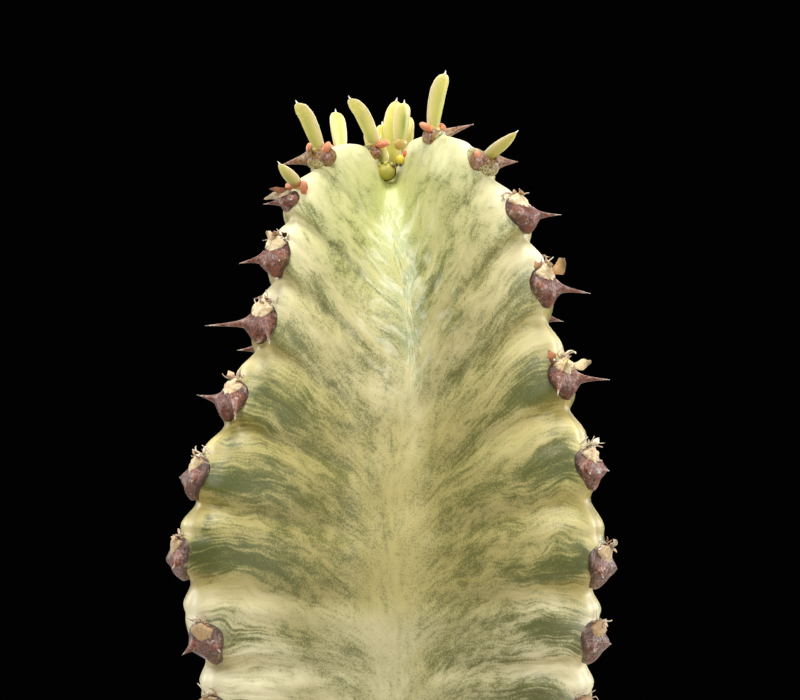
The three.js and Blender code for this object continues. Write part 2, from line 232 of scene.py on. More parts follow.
def edge_at(wing, distance):
    """A wing's edge at a distance from the tip along it: place on the curves, reach and depth."""
    spec = WINGS[wing]
    along = np.interp(distance, EDGE_DISTANCES, CURVE_PLACES)
    x, y = np.moveaxis(between(along, CURVE_PLACES, EDGE_CURVE), -1, 0)
    lean = 1 + spec["side"] * CROWN_LEAN["share"] * hump(y, CROWN_LEAN["depth"], CROWN_LEAN["span"])
    reach = x * spec["reach"] * lean
    past_tip = smooth(distance, 0, CROWN_DROP["full"])
    for amount, depth, span in spec["trims"]:
        reach = reach + amount * hump(y, depth, span) * past_tip
    drop = spec["drop"] * hump(distance, CROWN_DROP["distance"], CROWN_DROP["span"])
    return along, reach, y + drop * past_tip


def notch(level):
    """How far the edge is drawn in at a level."""
    phase = level - np.floor(level)
    span = np.where(phase < NOTCH_PHASE, 0.13, 0.2)
    depth = NOTCH_DEPTH * hump(phase, NOTCH_PHASE, span) + DIMPLE_DEPTH * hump(phase, DIMPLE_PHASE, 0.07)
    return np.where((level < 0) | (level > LAST_LEVEL), 0, depth)


def column(face, level, across):
    """Points of the column between a wing (across 0) and the next one counterclockwise (across 1)."""
    level, across = np.broadcast_arrays(np.asarray(level, float), np.asarray(across, float))
    pair = [face % 4, (face + 1) % 4]
    sides = [edge_at(wing, np.interp(level, LEVELS, LEVEL_DISTANCES[wing])) for wing in pair]
    furrows = [between(side[0], CURVE_PLACES, FURROW_CURVE) for side in sides]
    furrow_reach, furrow_depth = np.moveaxis(np.mean(furrows, axis=0), -1, 0)
    wing_reach, wing_depth = [np.where(across < 0.5, sides[0][i], sides[1][i]) for i in (1, 2)]
    phase = level - np.floor(level)
    blunt = 0.12 * hump(phase, 0.6, 0.18) - 0.15 * hump(phase, 0.3, 0.14)
    share = (np.cos(math.pi * across) ** 2) ** (WING_SHARPNESS - blunt)
    inset = notch(level) * np.minimum(1, wing_reach / FULL_NOTCH_REACH)
    reach = furrow_reach + (wing_reach - inset - furrow_reach) * share
    depth = furrow_depth + (wing_depth - furrow_depth) * share
    return round_axis(np.radians(WINGS[pair[0]]["azimuth"] + 90 * across), reach, WING_TOP - depth)


def on_wing(wing, distance, across):
    """Points of the column round a wing's edge, across from -0.5 to 0.5, at distances along it."""
    distance, across = np.broadcast_arrays(np.asarray(distance, float), np.asarray(across, float))
    level = np.interp(distance, LEVEL_DISTANCES[wing], LEVELS)
    ahead = column(wing, level, np.maximum(across, 0))
    behind = column(wing + 3, level, 1 + np.minimum(across, 0))
    return np.where((across >= 0)[..., None], ahead, behind)


def skin_at(wing, distance, across):
    """Points of the skin round a wing's edge, and the ways out of the skin there."""
    down = on_wing(wing, distance + 0.3, across) - on_wing(wing, distance - 0.3, across)
    around = on_wing(wing, distance, across + 0.004) - on_wing(wing, distance, across - 0.004)
    return on_wing(wing, distance, across), unit(np.cross(down, around))


UP = np.array([0.0, 0.0, 1.0])
# An areole whose way out rises more than this faces up, and its turn doesn't shift it sideways
FACES_UP = 0.85


class Areole:
    """An areole's place on its wing, its directions as in the CAD model, and the skin round it."""

    def __init__(self, wing, level):
        spec = WINGS[wing]
        self.wing, self.level = wing, level
        self.distance = AREOLES[wing][level]
        self.size = float(np.clip(0.4 + self.distance / 45, 0.5, 1)) * spec.get("small", {}).get(level, 1)
        azimuth = math.radians(spec["azimuth"])
        self.radial = np.array([math.cos(azimuth), math.sin(azimuth), 0])
        self.point = self.on_edge(self.distance)
        self.up = unit(self.on_edge(self.distance - 1) - self.on_edge(self.distance + 1))
        turns = spec["turns"]
        turn = turns[level] if level < len(turns) else 9 * math.sin(2.4 * level + spec["azimuth"])
        self.turn = math.radians(turn)
        self.side = turned_about(np.cross(UP, self.radial), self.up, self.turn)
        self.out = -np.cross(self.up, self.side)
        self.measure()

    def on_edge(self, distance):
        _, reach, depth = edge_at(self.wing, distance)
        return self.radial * reach + UP * (WING_TOP - depth)

    def measure(self):
        """Tables from a distance over the skin, sideways from the edge, to the place across."""
        self.across = np.linspace(-0.32, 0.32, 161)
        points, normals = skin_at(self.wing, self.distance, self.across)
        arc = distances(points)
        self.arc = arc - np.interp(0, self.across, arc)
        swing = np.unwrap(np.arctan2(normals[:, 1], normals[:, 0]))
        swing = swing - np.interp(0, self.across, swing)
        self.shift = 0.0 if self.out[2] > FACES_UP else float(np.interp(self.turn, swing, self.arc))

    def age(self, young, old):
        """0 where the areole is nearer to the tip than young, 1 where it is past old."""
        return float(smooth(self.distance, young, old))

    def above(self, side, up, height):
        """Points over the skin, at distances sideways and up from the areole's centre."""
        across = np.interp(np.asarray(side) + self.shift, self.arc, self.across)
        point, out = skin_at(self.wing, np.maximum(self.distance - np.asarray(up), 0.3), across)
        return point + out * np.asarray(height)[..., None]


# Meshes


class Heap:
    """Vertices, faces and vertex colours of many small forms that make up one object."""

    def __init__(self):
        self.points, self.faces, self.tints, self.count = [], [], [], 0

    def add(self, points, faces, tints):
        points = np.asarray(points, float).reshape(-1, 3)
        self.points.append(points)
        self.faces.extend([tuple(i + self.count for i in face) for face in faces])
        self.tints.append(np.broadcast_to(np.asarray(tints, float), (len(points), 3)))
        self.count += len(points)

    def build(self, name, material, slot):
        piece = mesh_piece(name, np.concatenate(self.points), self.faces, material, slot)
        tints = np.concatenate(self.tints)
        attribute = piece.data.attributes.new("tint", "FLOAT_COLOR", "POINT")
        attribute.data.foreach_set("color", np.column_stack([tints, np.ones(len(tints))]).ravel())
        outward(piece.data)


def mesh_piece(name, points, faces, material, slot=None):
    mesh = bpy.data.meshes.new(name)
    mesh.from_pydata((np.asarray(points) * MM).tolist(), [], faces)
    mesh.polygons.foreach_set("use_smooth", [True] * len(mesh.polygons))
    mesh.materials.append(material)
    piece = placed(name, mesh)
    if slot:
        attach(piece, "root")
    return piece


def placed(name, data):
    thing = bpy.data.objects.new(name, data)
    bpy.context.scene.collection.objects.link(thing)
    return thing


def outward(mesh):
    """Turns the faces of closed bodies outward."""
    work = bmesh.new()
    work.from_mesh(mesh)
    bmesh.ops.recalc_face_normals(work, faces=work.faces)
    work.to_mesh(mesh)
    work.free()


def ring_faces(rings, around):
    """Faces of a skin over rings of points, with an end point before the first ring and one after."""
    last = 1 + rings * around
    at = lambda ring, step: 1 + ring * around + step % around
    faces = [(0, at(0, step), at(0, step + 1)) for step in range(around)]
    for ring in range(rings - 1):
        for step in range(around):
            faces.append((at(ring, step), at(ring + 1, step), at(ring + 1, step + 1), at(ring, step + 1)))
    faces += [(at(rings - 1, step), last, at(rings - 1, step + 1)) for step in range(around)]
    return faces


def sweep(path, across, widths, depths, sides, hollow=0.0):
    """Points and faces of a closed body along a path. Its cross-sections are flattened rounds of
    the given half widths and half depths, and hollow bends them into a channel."""
    path, across = np.asarray(path, float), np.broadcast_to(np.asarray(across, float), np.shape(path))
    tangent = unit(np.gradient(path, axis=0))
    across = unit(across - tangent * np.sum(across * tangent, axis=1, keepdims=True))
    through = np.cross(tangent, across)
    cos, sin = np.cos(full_turn(sides)), np.sin(full_turn(sides))
    widths, depths = [np.asarray(values, float)[:, None, None] for values in (widths, depths)]
    sideways = across[:, None] * (widths * cos[None, :, None])
    lift = ((1 - 0.45 * hollow) * sin + hollow * cos**2)[None, :, None]
    rings = path[:, None] + sideways + through[:, None] * depths * lift
    middle = path + through * depths[:, 0] * hollow * 0.3
    points = np.concatenate([middle[:1], rings.reshape(-1, 3), middle[-1:]])
    return points, ring_faces(len(path), sides)


def along_sweep(values, sides):
    """Repeats one value per ring for every point of a sweep."""
    values = np.asarray(values, float)
    return np.concatenate([values[:1], np.repeat(values, sides, axis=0), values[-1:]])


def blend(first, second, share):
    share = np.asarray(share, float)[..., None]
    return np.asarray(first) * (1 - share) + np.asarray(second) * share


def srgb(*channels):
    """A colour given as 0 to 255, in the linear values that shaders use."""
    values = np.array(channels, float) / 255
    return np.where(values <= 0.04045, values / 12.92, ((values + 0.055) / 1.055) ** 2.4)


# Finishes

# The numbers of a mix node's sockets for colours
MIX_FIRST, MIX_SECOND, MIX_RESULT = 6, 7, 2


def wired(operation):
    """A method that sends a wire, and another value if there is one, through a math node."""
    return lambda wire, other=0: wire.finish.math(operation, wire, other)


class Wire:
    """A value that travels between the nodes of a finish."""

    def __init__(self, finish, socket):
        self.finish, self.socket = finish, socket

    __add__ = __radd__ = wired("ADD")
    __sub__ = wired("SUBTRACT")
    __mul__ = __rmul__ = wired("MULTIPLY")
    __truediv__ = wired("DIVIDE")
    __pow__ = wired("POWER")
    size = wired("ABSOLUTE")
    cosine = wired("COSINE")

    def __rsub__(self, other):
        return self.finish.math("SUBTRACT", other, self)

    def fade(self, span):
        """1 at 0, and smaller by a factor of e over each span."""
        return self.finish.math("EXPONENT", self / -span, 0)

    def step(self, low, high):
        """0 below low, 1 above high, and a smooth step between."""
        inputs = {"Value": self, "From Min": low, "From Max": high}
        return self.finish.wire("ShaderNodeMapRange", inputs, "Result", interpolation_type="SMOOTHSTEP")

    def span(self, start, full, fading, end):
        """1 from full to fading and 0 before start and after end, with smooth steps between."""
        return self.step(start, full) * (1 - self.step(fading, end))


class Finish:
    """A procedural material, built node by node."""

    def __init__(self, name, **settings):
        self.material = bpy.data.materials.new(name)
        self.material.use_nodes = True
        self.tree = self.material.node_tree
        self.shader = self.tree.nodes["Principled BSDF"]
        for socket, value in settings.items():
            self.shader.inputs[socket.replace("_", " ")].default_value = value

    def feed(self, socket, value):
        if isinstance(value, Wire):
            self.tree.links.new(value.socket, socket)
        elif isinstance(value, (int, float)):
            socket.default_value = value
        else:
            socket.default_value = [*value, 1] if socket.type == "RGBA" else tuple(value)

    def wire(self, kind, inputs, output=0, **settings):
        """An output of a new node, whose inputs are fed by their names or numbers."""
        node = self.tree.nodes.new(kind)
        for name, value in settings.items():
            setattr(node, name, value)
        for name, value in inputs.items():
            self.feed(node.inputs[name], value)
        return Wire(self, node.outputs[output])

    def math(self, operation, first, second):
        return self.wire("ShaderNodeMath", {0: first, 1: second}, operation=operation)

    def attribute(self, name, output):
        return self.wire("ShaderNodeAttribute", {}, output, attribute_name=name)

    def position(self):
        """The place on the object, in millimetres."""
        place = self.wire("ShaderNodeTexCoord", {}, "Object")
        return self.wire("ShaderNodeVectorMath", {0: place, "Scale": 1 / MM}, operation="SCALE")

    def split(self, vector):
        first = self.wire("ShaderNodeSeparateXYZ", {0: vector})
        return [Wire(self, output) for output in first.socket.node.outputs]

    def join(self, x, y, z):
        return self.wire("ShaderNodeCombineXYZ", {0: x, 1: y, 2: z})

    def noise(self, vector, scale, detail=2.0, roughness=0.5, distortion=0.0):
        """Soft noise of about 0.5, whose cells are 1 / scale across."""
        inputs = {"Vector": vector, "Scale": scale, "Detail": detail, "Roughness": roughness,
                  "Distortion": distortion}
        return self.wire("ShaderNodeTexNoise", inputs, "Fac")

    def streaks(self, x, y, z, scales, detail=2.0, roughness=0.5):
        """Noise with a scale for x and one for y, where each z gives other noise."""
        return self.noise(self.join(x * scales[0], y * scales[1], z), 1.0, detail, roughness)

    def cells(self, vector, scale):
        """Distance to the nearest of scattered points, and a number of its own for each point."""
        distance = self.wire("ShaderNodeTexVoronoi", {"Vector": vector, "Scale": scale}, "Distance")
        return distance, self.split(Wire(self, distance.socket.node.outputs["Color"]))[0]

    def mix(self, first, second, share):
        inputs = {"Factor": share, MIX_FIRST: first, MIX_SECOND: second}
        return self.wire("ShaderNodeMix", inputs, MIX_RESULT, data_type="RGBA", clamp_factor=True)

    def painted(self, colour, *coats):
        """A colour under coats, each a pair of a colour and the share of it."""
        for coat, share in coats:
            colour = self.mix(colour, coat, share)
        return colour

    def surface(self, colour, roughness):
        self.feed(self.shader.inputs["Base Color"], colour)
        self.feed(self.shader.inputs["Roughness"], roughness)

    def relief(self, height, depth_mm, strength):
        """Small relief too fine for the mesh, from a height of 0 to 1."""
        inputs = {"Height": height, "Strength": strength, "Distance": depth_mm * MM}
        self.feed(self.shader.inputs["Normal"], self.wire("ShaderNodeBump", inputs))


CREAM = srgb(218, 206, 154)
PEACH = srgb(206, 193, 144)
DRAB = srgb(184, 174, 118)
TOP_CREAM = srgb(204, 205, 134)
YELLOW = srgb(234, 216, 136)
MID_GREEN = srgb(142, 139, 80)
DEEP_GREEN = srgb(86, 91, 26)
DARK_GREEN = srgb(60, 70, 26)
FROST_GREEN = srgb(160, 176, 138)
SHADE_OLIVE = srgb(164, 140, 50)
LIME = srgb(198, 202, 100)
FRESH_GREEN = srgb(140, 150, 68)
SHEEN_WHITE = srgb(240, 240, 218)
HIGHLIGHT_WHITE = srgb(254, 250, 222)
CHALK = srgb(236, 228, 192)
STAIN = srgb(194, 178, 116)
UMBER_CREAM = srgb(158, 142, 86)
CORK = srgb(150, 132, 100)
SPOT = srgb(104, 84, 48)

LEVEL_HEIGHT = 13.7
FACE_OFFSET = 50


def skin_finish():
    """The stem's skin: cream, with bands of fine green streaks that run in from each areole. In
    millimetres over the skin, u is the distance from the nearer wing's edge, x that from the furrow
    and v that down the lines of growth."""
    skin = Finish("plant_skin", Subsurface_Weight=0.08, Subsurface_Scale=0.0015,
                  Subsurface_Radius=(1.0, 0.85, 0.4))
    flow = skin.attribute("flow", "Vector")
    x, v, face = skin.split(flow)
    u, centred, level = skin.split(skin.attribute("place", "Vector"))
    _, _, height = skin.split(skin.position())

    # Slow noise that bends the streaks
    drift = skin.streaks(x, v, face, (0.08, 0.08))
    wander = skin.streaks(x, v, face + 9, (0.1, 0.1))
    tangle = skin.streaks(x, v, face + 21, (0.3, 0.3))
    bent_x = x + (wander - 0.5) * 6
    bent_v = v + (drift - 0.5) * 8 + (tangle - 0.5) * 0.6
    upright_x, upright_v = x + (wander - 0.5) * 5, level * LEVEL_HEIGHT

    # Zones, as shares: by level, by distance from the edge and from the furrow, and on the left half
    crown = 1 - level.step(0.3, 2.6)
    low = level.step(3, 6.5)
    inner = u.step(6, 26)
    settled = level.step(2.4, 5.4) * (1 - inner * 0.45)
    centre = (x * x).fade(34) * level.step(2.4, 4.5)
    left = 1 - upright_x.step(-4, 4)
    shaded = left * level.span(4, 5, 6.8, 7.6) * u.fade(16)
    pale = left * level.span(7.2, 7.7, 8.6, 9.4)

    # Streaks along the lines of growth, with a band for each areole
    half = face + upright_x.step(-2, 2) * 7
    varied = skin.streaks(level, half, 4, (0.5, 1), 1).step(0.3, 0.65)
    band = (bent_v * (2 * math.pi / LEVEL_HEIGHT) - 0.2).cosine() * (varied * 0.75 + 0.5)
    broad = skin.streaks(bent_x, bent_v, face, (0.07, 0.22))
    fine = skin.streaks(bent_x, bent_v, face + 3, (0.3, 0.7), 3, 0.55)
    lines = skin.streaks(bent_x, bent_v, face + 18, (0.09, 1.8), 1)
    flowing = band * 0.28 * (1 - inner * 0.8) + (broad - 0.5) * 1.2 + (fine - 0.5) * (inner * 0.4 + 0.9)
    flowing += (lines - 0.5) * (1 - inner * 0.45) + (1 - inner) * 0.08 + 0.17

    # Near the crown, feathers that fall inward on both sides of the furrow
    apart = upright_x.size()
    depth = WING_TOP - height + (drift - 0.5) * 8
    along, aslant = (apart - depth * 0.9) * 0.74, (depth + apart * 0.9) * 0.74
    patches = skin.streaks(along, aslant, half, (0.11, 0.26))
    strokes = skin.streaks(along, aslant, half, (0.34, 1), 4, 0.6)
    feathery = (patches - 0.5) * 1.6 + (strokes - 0.5) * 1.3 + band * (u.fade(10) * 0.16 + 0.06)
    feathery += level.step(1.2, 3) * 0.14 + low * 0.22 - 0.04
    flowing = feathery * (1 - settled) + flowing * settled

    # In the furrow, upright streaks
    columns = skin.streaks(upright_x, upright_v, face + 6, (0.42, 0.1))
    flecks = skin.streaks(upright_x, upright_v, face + 15, (0.9, 0.4))
    standing = ((columns - 0.5) * 1.7 + flecks - 0.5) * (1 - low * 0.5) + 0.02
    amount = flowing * (1 - centre) + standing * centre - u.fade(1.6) * 0.7
    amount += shaded * 0.18 - pale * (0.26 - inner * 0.18)
    green = (amount * (1 - crown * centred.step(0.5, 1) * 0.8)).step(-0.52, 0.76)

    ground = skin.painted(
        CREAM,
        (PEACH, inner * 0.8),
        (DRAB, inner * low * 0.9),
        (STAIN, (wander.step(0.3, 0.6) * 0.35 + 0.5) * level.span(4, 5, 7, 7.8)),
        (CHALK, drift.step(0.2, 0.5) * level.step(7.2, 7.9) * (1 - inner * 0.5) * 0.95),
        (UMBER_CREAM, shaded * 0.75),
        (YELLOW, u.fade(7) * 0.2),
        (TOP_CREAM, 1 - level.step(0.5, 4)),
        (CHALK, u.fade(8) * (1 - level.step(3, 5)) * 0.6),
    )
    grain = skin.noise(skin.position(), 3.2, 1)
    dots = (grain + (green - 0.6) * 0.45).step(0.43, 0.62)
    tone = skin.mix(FRESH_GREEN, MID_GREEN, level.step(1.5, 4) * (1 - u.fade(9) * 0.6))
    deep = u.fade(13) * level.step(3.5, 5) * 0.6 + settled * 0.15 + shaded * 0.3 + 0.15
    # Painted shade: olive in the grooves under each swelling, near the wing's edge
    groove_shade = ((level * (2 * math.pi) - 1.9).cosine() * 0.5 + 0.5) ** 4
    swelling = ((level * (2 * math.pi) - 4.5).cosine() * 0.5 + 0.5) ** 2
    # Painted highlight: near-white on the swellings at the wing's very edge
    painted_highlight = swelling * u.fade(1.9) * level.step(1, 2.4) * (0.8 - level.span(3.8, 4.8, 7, 7.8) * 0.65)
    frost = (bent_x * bent_x).fade(14) * level.span(0.9, 1.6, 3.2, 4.6) * tangle.step(0.4, 0.62)
    # Painted sheen: whitish streaky patches near the crown's furrow, standing for reflections on the glossy
    # skin
    sheen_streaks = skin.streaks(along, aslant, half + 3, (0.22, 0.6), 3).step(0.47, 0.66)
    sheen_zone = level.span(0.5, 1.2, 2.8, 4.8) * centred.step(0.4, 0.85)
    spots, pick = skin.cells(skin.join(bent_x * 0.085, bent_v * 0.085, face), 1.0)
    corky = level.step(14.2, 17.2) * skin.noise(flow, 0.22, 4, 0.65).step(0.4, 0.62)
    colour = skin.painted(
        ground,
        (tone, green * (level.step(0.5, 4) * 0.22 + 0.64)),
        (DEEP_GREEN, green.step(0.5, 1) * deep),
        (DARK_GREEN, dots * (green * 0.46 + 0.12)),
        # painted shade in the grooves
        (SHADE_OLIVE, groove_shade * u.fade(7) * broad.step(0.3, 0.6) * level.step(2, 4) * 0.7),
        # painted highlight on the edge swellings
        (HIGHLIGHT_WHITE, painted_highlight),
        (FRESH_GREEN, (1 - level.step(0.2, 2)) * centred.step(0.6, 1) * 0.4),
        (LIME, (1 - level.step(-0.4, 1.2)) * centred.step(0.35, 1) * 0.35),
        (FROST_GREEN, frost * 0.55),
        # painted sheen near the crown
        (SHEEN_WHITE, sheen_streaks * sheen_zone * 0.38),
        (SPOT, (1 - spots.step(0.018, 0.03)) * pick.step(0.7, 0.74) * 0.8),
        (CORK, corky * 0.85),
    )
    skin.surface(colour, 0.38 + grain * 0.16 + corky * 0.3)
    skin.relief(grain + broad * 0.6, 0.09, 0.5)
    return skin.material


def tinted_finish(name, roughness, grain_scale, grain_depth, contrast, **settings):
    """A finish that takes its colours from the mesh and adds fine mottling and relief. Its dark speckles
    and cracks are partly painted shade of crevices, and its pale patches partly painted highlight.
    """
    finish = Finish(name, **settings)
    place = finish.position()
    grain = finish.noise(place, grain_scale, 4, 0.62)
    pale_and_highlight = finish.noise(place, grain_scale * 0.3, 3, 0.6)
    crack_and_shade = 1 - (finish.noise(place, grain_scale * 0.36, 2, 0.6) - 0.5).size().step(0, 0.05)
    colour = finish.painted(
        finish.attribute("tint", "Color"),
        # dark speckles: partly real speckles, partly painted shade of crevices
        ((0.02, 0.012, 0.01), grain.step(0.48, 0.7) * contrast),
        # pale patches: partly paler flakes, partly painted highlight
        ((0.75, 0.62, 0.5), pale_and_highlight.step(0.5, 0.74) * contrast * 0.5),
        # dark lines of cracks, darkened partly as painted shade
        ((0.016, 0.008, 0.006), crack_and_shade * contrast * 0.85),
    )
    finish.surface(colour, roughness - 0.1 + grain * 0.25)
    finish.relief(grain, grain_depth, 0.6)
    return finish.material


def clay_finish():
    """Fired clay: mottled, with pale bloom where water has dried on it, most of it low down."""
    clay = Finish("fired_clay")
    place = clay.position()
    _, _, height = clay.split(place)
    cloud = clay.noise(place, 0.035, 4, 0.6)
    grain = clay.noise(place, 0.9, 3, 0.6)
    bloom = clay.noise(place, 0.05, 6, 0.68, 0.15)
    speck, pick = clay.cells(place, 0.32)
    colour = clay.painted(
        srgb(186, 104, 68),
        (srgb(150, 78, 48), cloud.step(0.35, 0.65)),
        (srgb(205, 130, 92), grain.step(0.5, 0.75) * 0.4),
        (srgb(224, 205, 184), bloom.step(0.48, 0.78) * ((1 - height.step(4, 60)) * 0.7 + 0.18)),
        (srgb(214, 160, 126), height.step(124, 130) * grain.step(0.35, 0.6) * 0.5),
        (srgb(92, 48, 34), (1 - speck.step(0.1, 0.2)) * pick.step(0.7, 0.74) * 0.7),
    )
    clay.surface(colour, 0.78 + grain * 0.16)
    clay.relief(grain + cloud * 0.5, 0.25, 0.5)
    return clay.material


def soil_finish():
    """Dark gritty planting mix."""
    soil = Finish("planting_mix")
    place = soil.position()
    lumps = soil.noise(place, 0.35, 5, 0.7)
    grain = soil.noise(place, 1.7, 3, 0.7)
    chip, pick = soil.cells(place, 0.6)
    colour = soil.painted(
        srgb(58, 42, 30),
        (srgb(104, 80, 58), lumps.step(0.4, 0.65)),
        (srgb(30, 22, 17), grain.step(0.52, 0.7) * 0.7),
        (srgb(168, 150, 122), (1 - chip.step(0.2, 0.34)) * pick.step(0.78, 0.82) * 0.8),
    )
    soil.surface(colour, 0.95)
    soil.relief(grain + lumps, 0.6, 0.8)
    return soil.material


SKIN = skin_finish()
HORN = tinted_finish("horn", 0.3, 2.6, 0.36, 0.95)
PAPER = tinted_finish("dried_husk", 0.7, 3.0, 0.06, 0.3)
LEAF = tinted_finish("leaf", 0.38, 1.1, 0.03, 0.0, Subsurface_Weight=0.15, Subsurface_Scale=0.001,
                     Subsurface_Radius=(0.9, 0.9, 0.35))
CLAY = clay_finish()
SOIL = soil_finish()
STONE = tinted_finish("pumice", 0.92, 1.2, 0.3, 0.35)

# The stem

FACE_STEPS = 50
CROWN_ROWS = 14
ROWS_PER_LEVEL = 22
BURIED_ROWS = 10


def stem_grid():
    """The column's points in rows from the crown down, face by face, before any relief."""
    levels = np.concatenate([
        np.linspace(-1, 0, CROWN_ROWS + 1)[1:-1],
        np.linspace(0, LAST_LEVEL, LAST_LEVEL * ROWS_PER_LEVEL + 1),
        np.linspace(LAST_LEVEL, BURIED_END, BURIED_ROWS + 1)[1:-1],
    ])
    even = np.linspace(0, 1, FACE_STEPS + 1)
    across = even - 0.7 * np.sin(2 * math.pi * even) / (2 * math.pi)
    faces = [column(face, levels[:, None], across[None, :]) for face in range(4)]
    return levels, np.stack(faces, axis=1)


def measured(grid):
    """For each point, over the skin: u, its distance from the nearer edge of its face, x, its
    distance from the furrow, and u as a share of the way to the furrow."""
    steps = np.linalg.norm(np.diff(grid, axis=2), axis=3)
    along = np.concatenate([np.zeros(steps.shape[:2] + (1,)), np.cumsum(steps, axis=2)], axis=2)
    width = along[:, :, -1:]
    u = np.minimum(along, width - along)
    return u, along - width / 2, u / (width / 2 + 1e-9)


def stem_relief(level, u, x):
    """Height of the skin's swellings: a tubercle under each areole and low folds running inward."""
    phase = (level - 0.004 * u * np.clip(8 - level, 0, 4)) % 1.0
    swelling = hump(phase, 0.62, 0.17) + hump(phase, -0.38, 0.17) - 0.75 * hump(phase, 0.28, 0.12)
    inside = smooth(level, 0, 1.5) * (1 - smooth(level, LAST_LEVEL - 1, LAST_LEVEL))
    folds = 0.5 * swelling * np.exp(-u / 7) * (1 - np.exp(-u / 1.6))
    broad = 0.3 * np.sin(x / 6.1 + level * 1.9) * np.sin(level * 3.3 + 1) * (1 - np.exp(-u / 8))
    crease = -0.35 * hump(x, 0, 1.2) * smooth(level, 1.5, 4)
    return inside * (folds + broad + crease)


def growth_of(level, u, x, centred):
    """v, the distance down along the lines of growth, which sink towards the furrow."""
    steep = 5 * centred * (1 - smooth(level * LEVEL_HEIGHT, 45, 105))
    grown = smooth(level, 1.5, 5)
    sunk = (11 + 4 * grown) * np.exp(-np.abs(x) / (10 - 3.5 * grown))
    return LEVEL_HEIGHT * level - sunk - steep + 2.2 * grown * (1 - np.exp(-u / 7))


def build_stem():
    levels, grid = stem_grid()
    u, x, centred = measured(grid)
    level = np.broadcast_to(levels[:, None, None], u.shape)
    rows, around = len(levels), 4 * FACE_STEPS
    looped = lambda values: values[:, :, :-1].reshape(rows, around, -1)
    loop = looped(grid)
    sideways = np.roll(loop, -1, axis=1) - np.roll(loop, 1, axis=1)
    normals = unit(np.cross(np.gradient(loop, axis=0), sideways))
    loop = loop + normals * looped(stem_relief(level, u, x))
    tip, root = [[[0, 0, WING_TOP - end[1]]] for end in (WING_EDGE[0], WING_EDGE[-1])]
    points = np.concatenate([tip, loop.reshape(-1, 3), root])
    stem = mesh_piece("fine_stem", points, ring_faces(rows, around), SKIN, "plant_skin")
    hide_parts("stem")

    place = looped(np.stack([u, centred, level], axis=-1)).reshape(-1, 3)
    place = np.concatenate([[[0, 1, -1]], place, [[0, 1, BURIED_END]]])
    stem.data.attributes.new("place", "FLOAT_VECTOR", "POINT").data.foreach_set("vector", place.ravel())

    # Each corner of a mesh face takes its flow in that mesh face's own face of the column, in the
    # order of ring_faces
    number = np.broadcast_to(FACE_OFFSET * np.arange(4)[:, None], u.shape)
    flow = np.stack([x, growth_of(level, u, x, centred), number], axis=-1)
    face, step = np.divmod(np.arange(around), FACE_STEPS)
    here, beside, middle = [flow[:, face, i] for i in (step, step + 1, FACE_STEPS // 2)]
    corners = [
        np.stack([middle[0], here[0], beside[0]], axis=1),
        np.stack([here[:-1], here[1:], beside[1:], beside[:-1]], axis=2),
        np.stack([here[-1], middle[-1], beside[-1]], axis=1),
    ]
    flow = np.concatenate([part.ravel() for part in corners])
    stem.data.attributes.new("flow", "FLOAT_VECTOR", "CORNER").data.foreach_set("vector", flow)
    outward(stem.data)
    return loop, levels


stem_loop, stem_levels = build_stem()
areoles = [[Areole(wing, level) for level in range(AREOLES_PER_WING)] for wing in range(4)]

# The pebbles take the first draws and the spines the next, in the CAD model's order
cad_dice = Dice(4711)
pebble_draws = [[cad_dice() for _ in range(5)] for _ in range(PEBBLES)]
spine_draws = {
    (wing, level, hand): (cad_dice(), cad_dice())
    for wing in range(4)
    for level in range(SPINY_AREOLES)
    for hand in (1, -1)
}

# Shields, spines and what is left on them

UMBER = srgb(98, 50, 35)
RUSSET = srgb(150, 78, 50)
MAUVE = srgb(150, 96, 78)
TAN = srgb(214, 180, 128)
IVORY = srgb(240, 226, 190)
SOOT = srgb(42, 24, 20)
SAGE = srgb(166, 126, 64)
CHESTNUT = srgb(132, 74, 56)
BONE = srgb(226, 206, 186)
ROSE = srgb(176, 120, 104)
ASH = srgb(140, 128, 116)
SCAR_EDGE = srgb(120, 74, 46)

SHIELD_OUTLINE = [[0, 3.75], [1.9, 3.55], [3.3, 2.3], [3.45, 0.6], [2.75, -1.6], [1.45, -3.7], [0, -4.6]]
SHIELD_SIDES = 44
SHIELD_RINGS = 13
SCAR_OUTLINE = [[0, -0.7], [1.5, 0.9], [2.2, 2.7], [0, 3.7], [-2.2, 2.7], [-1.5, 0.9], [0, -0.7]]
SCAR_CENTRE = np.array([0, 1.7])
SCAR_SIDES = 30
SCAR_SHARES = [0.3, 0.6, 0.85, 0.97, 1]
SHIELD_DOME = 1.05
SHIELD_EDGE = 0.28
SHIELD_SINK = 0.75
SHIELD_FLOOR = -2.2
# The mounds that the two spines stand on
HORN_PLACE = {"side": 1.75, "up": -0.4}
MOUND_HEIGHT = 1.25
MOUND_REACH = 1.35
SPINE_SIDES = 12
# How much further out a spine stands where the crown's edge would hide it, by wing, level and hand
SPINE_LIFT = {(3, 1, 1): 0.4}
# The short new spines that point forward at the front wings' tips, and their mounds' share
NEW_LEVELS = 3
NEW_LENGTH = 1.1
NEW_MOUND = 0.3
# The length of the back wings' spines, as a share of the CAD model's
BACK_SHARE = 0.62


def shield_outline():
    """The shield's outline as evenly spaced points, counterclockwise."""
    half = np.array(SHIELD_OUTLINE, float)
    loop = np.concatenate([half, half[1:-1][::-1] * [-1, 1]])
    closed = np.concatenate([loop[-2:], loop, loop[:3]])
    step = (CURVE_STEPS - 1) / (len(closed) - 1)
    curve = smooth_curve(closed)[round(2 * step) : round((2 + len(loop)) * step) + 1]
    arc = distances(curve)
    return between(np.linspace(0, arc[-1], SHIELD_SIDES, endpoint=False), arc, curve)


OUTLINE = shield_outline()


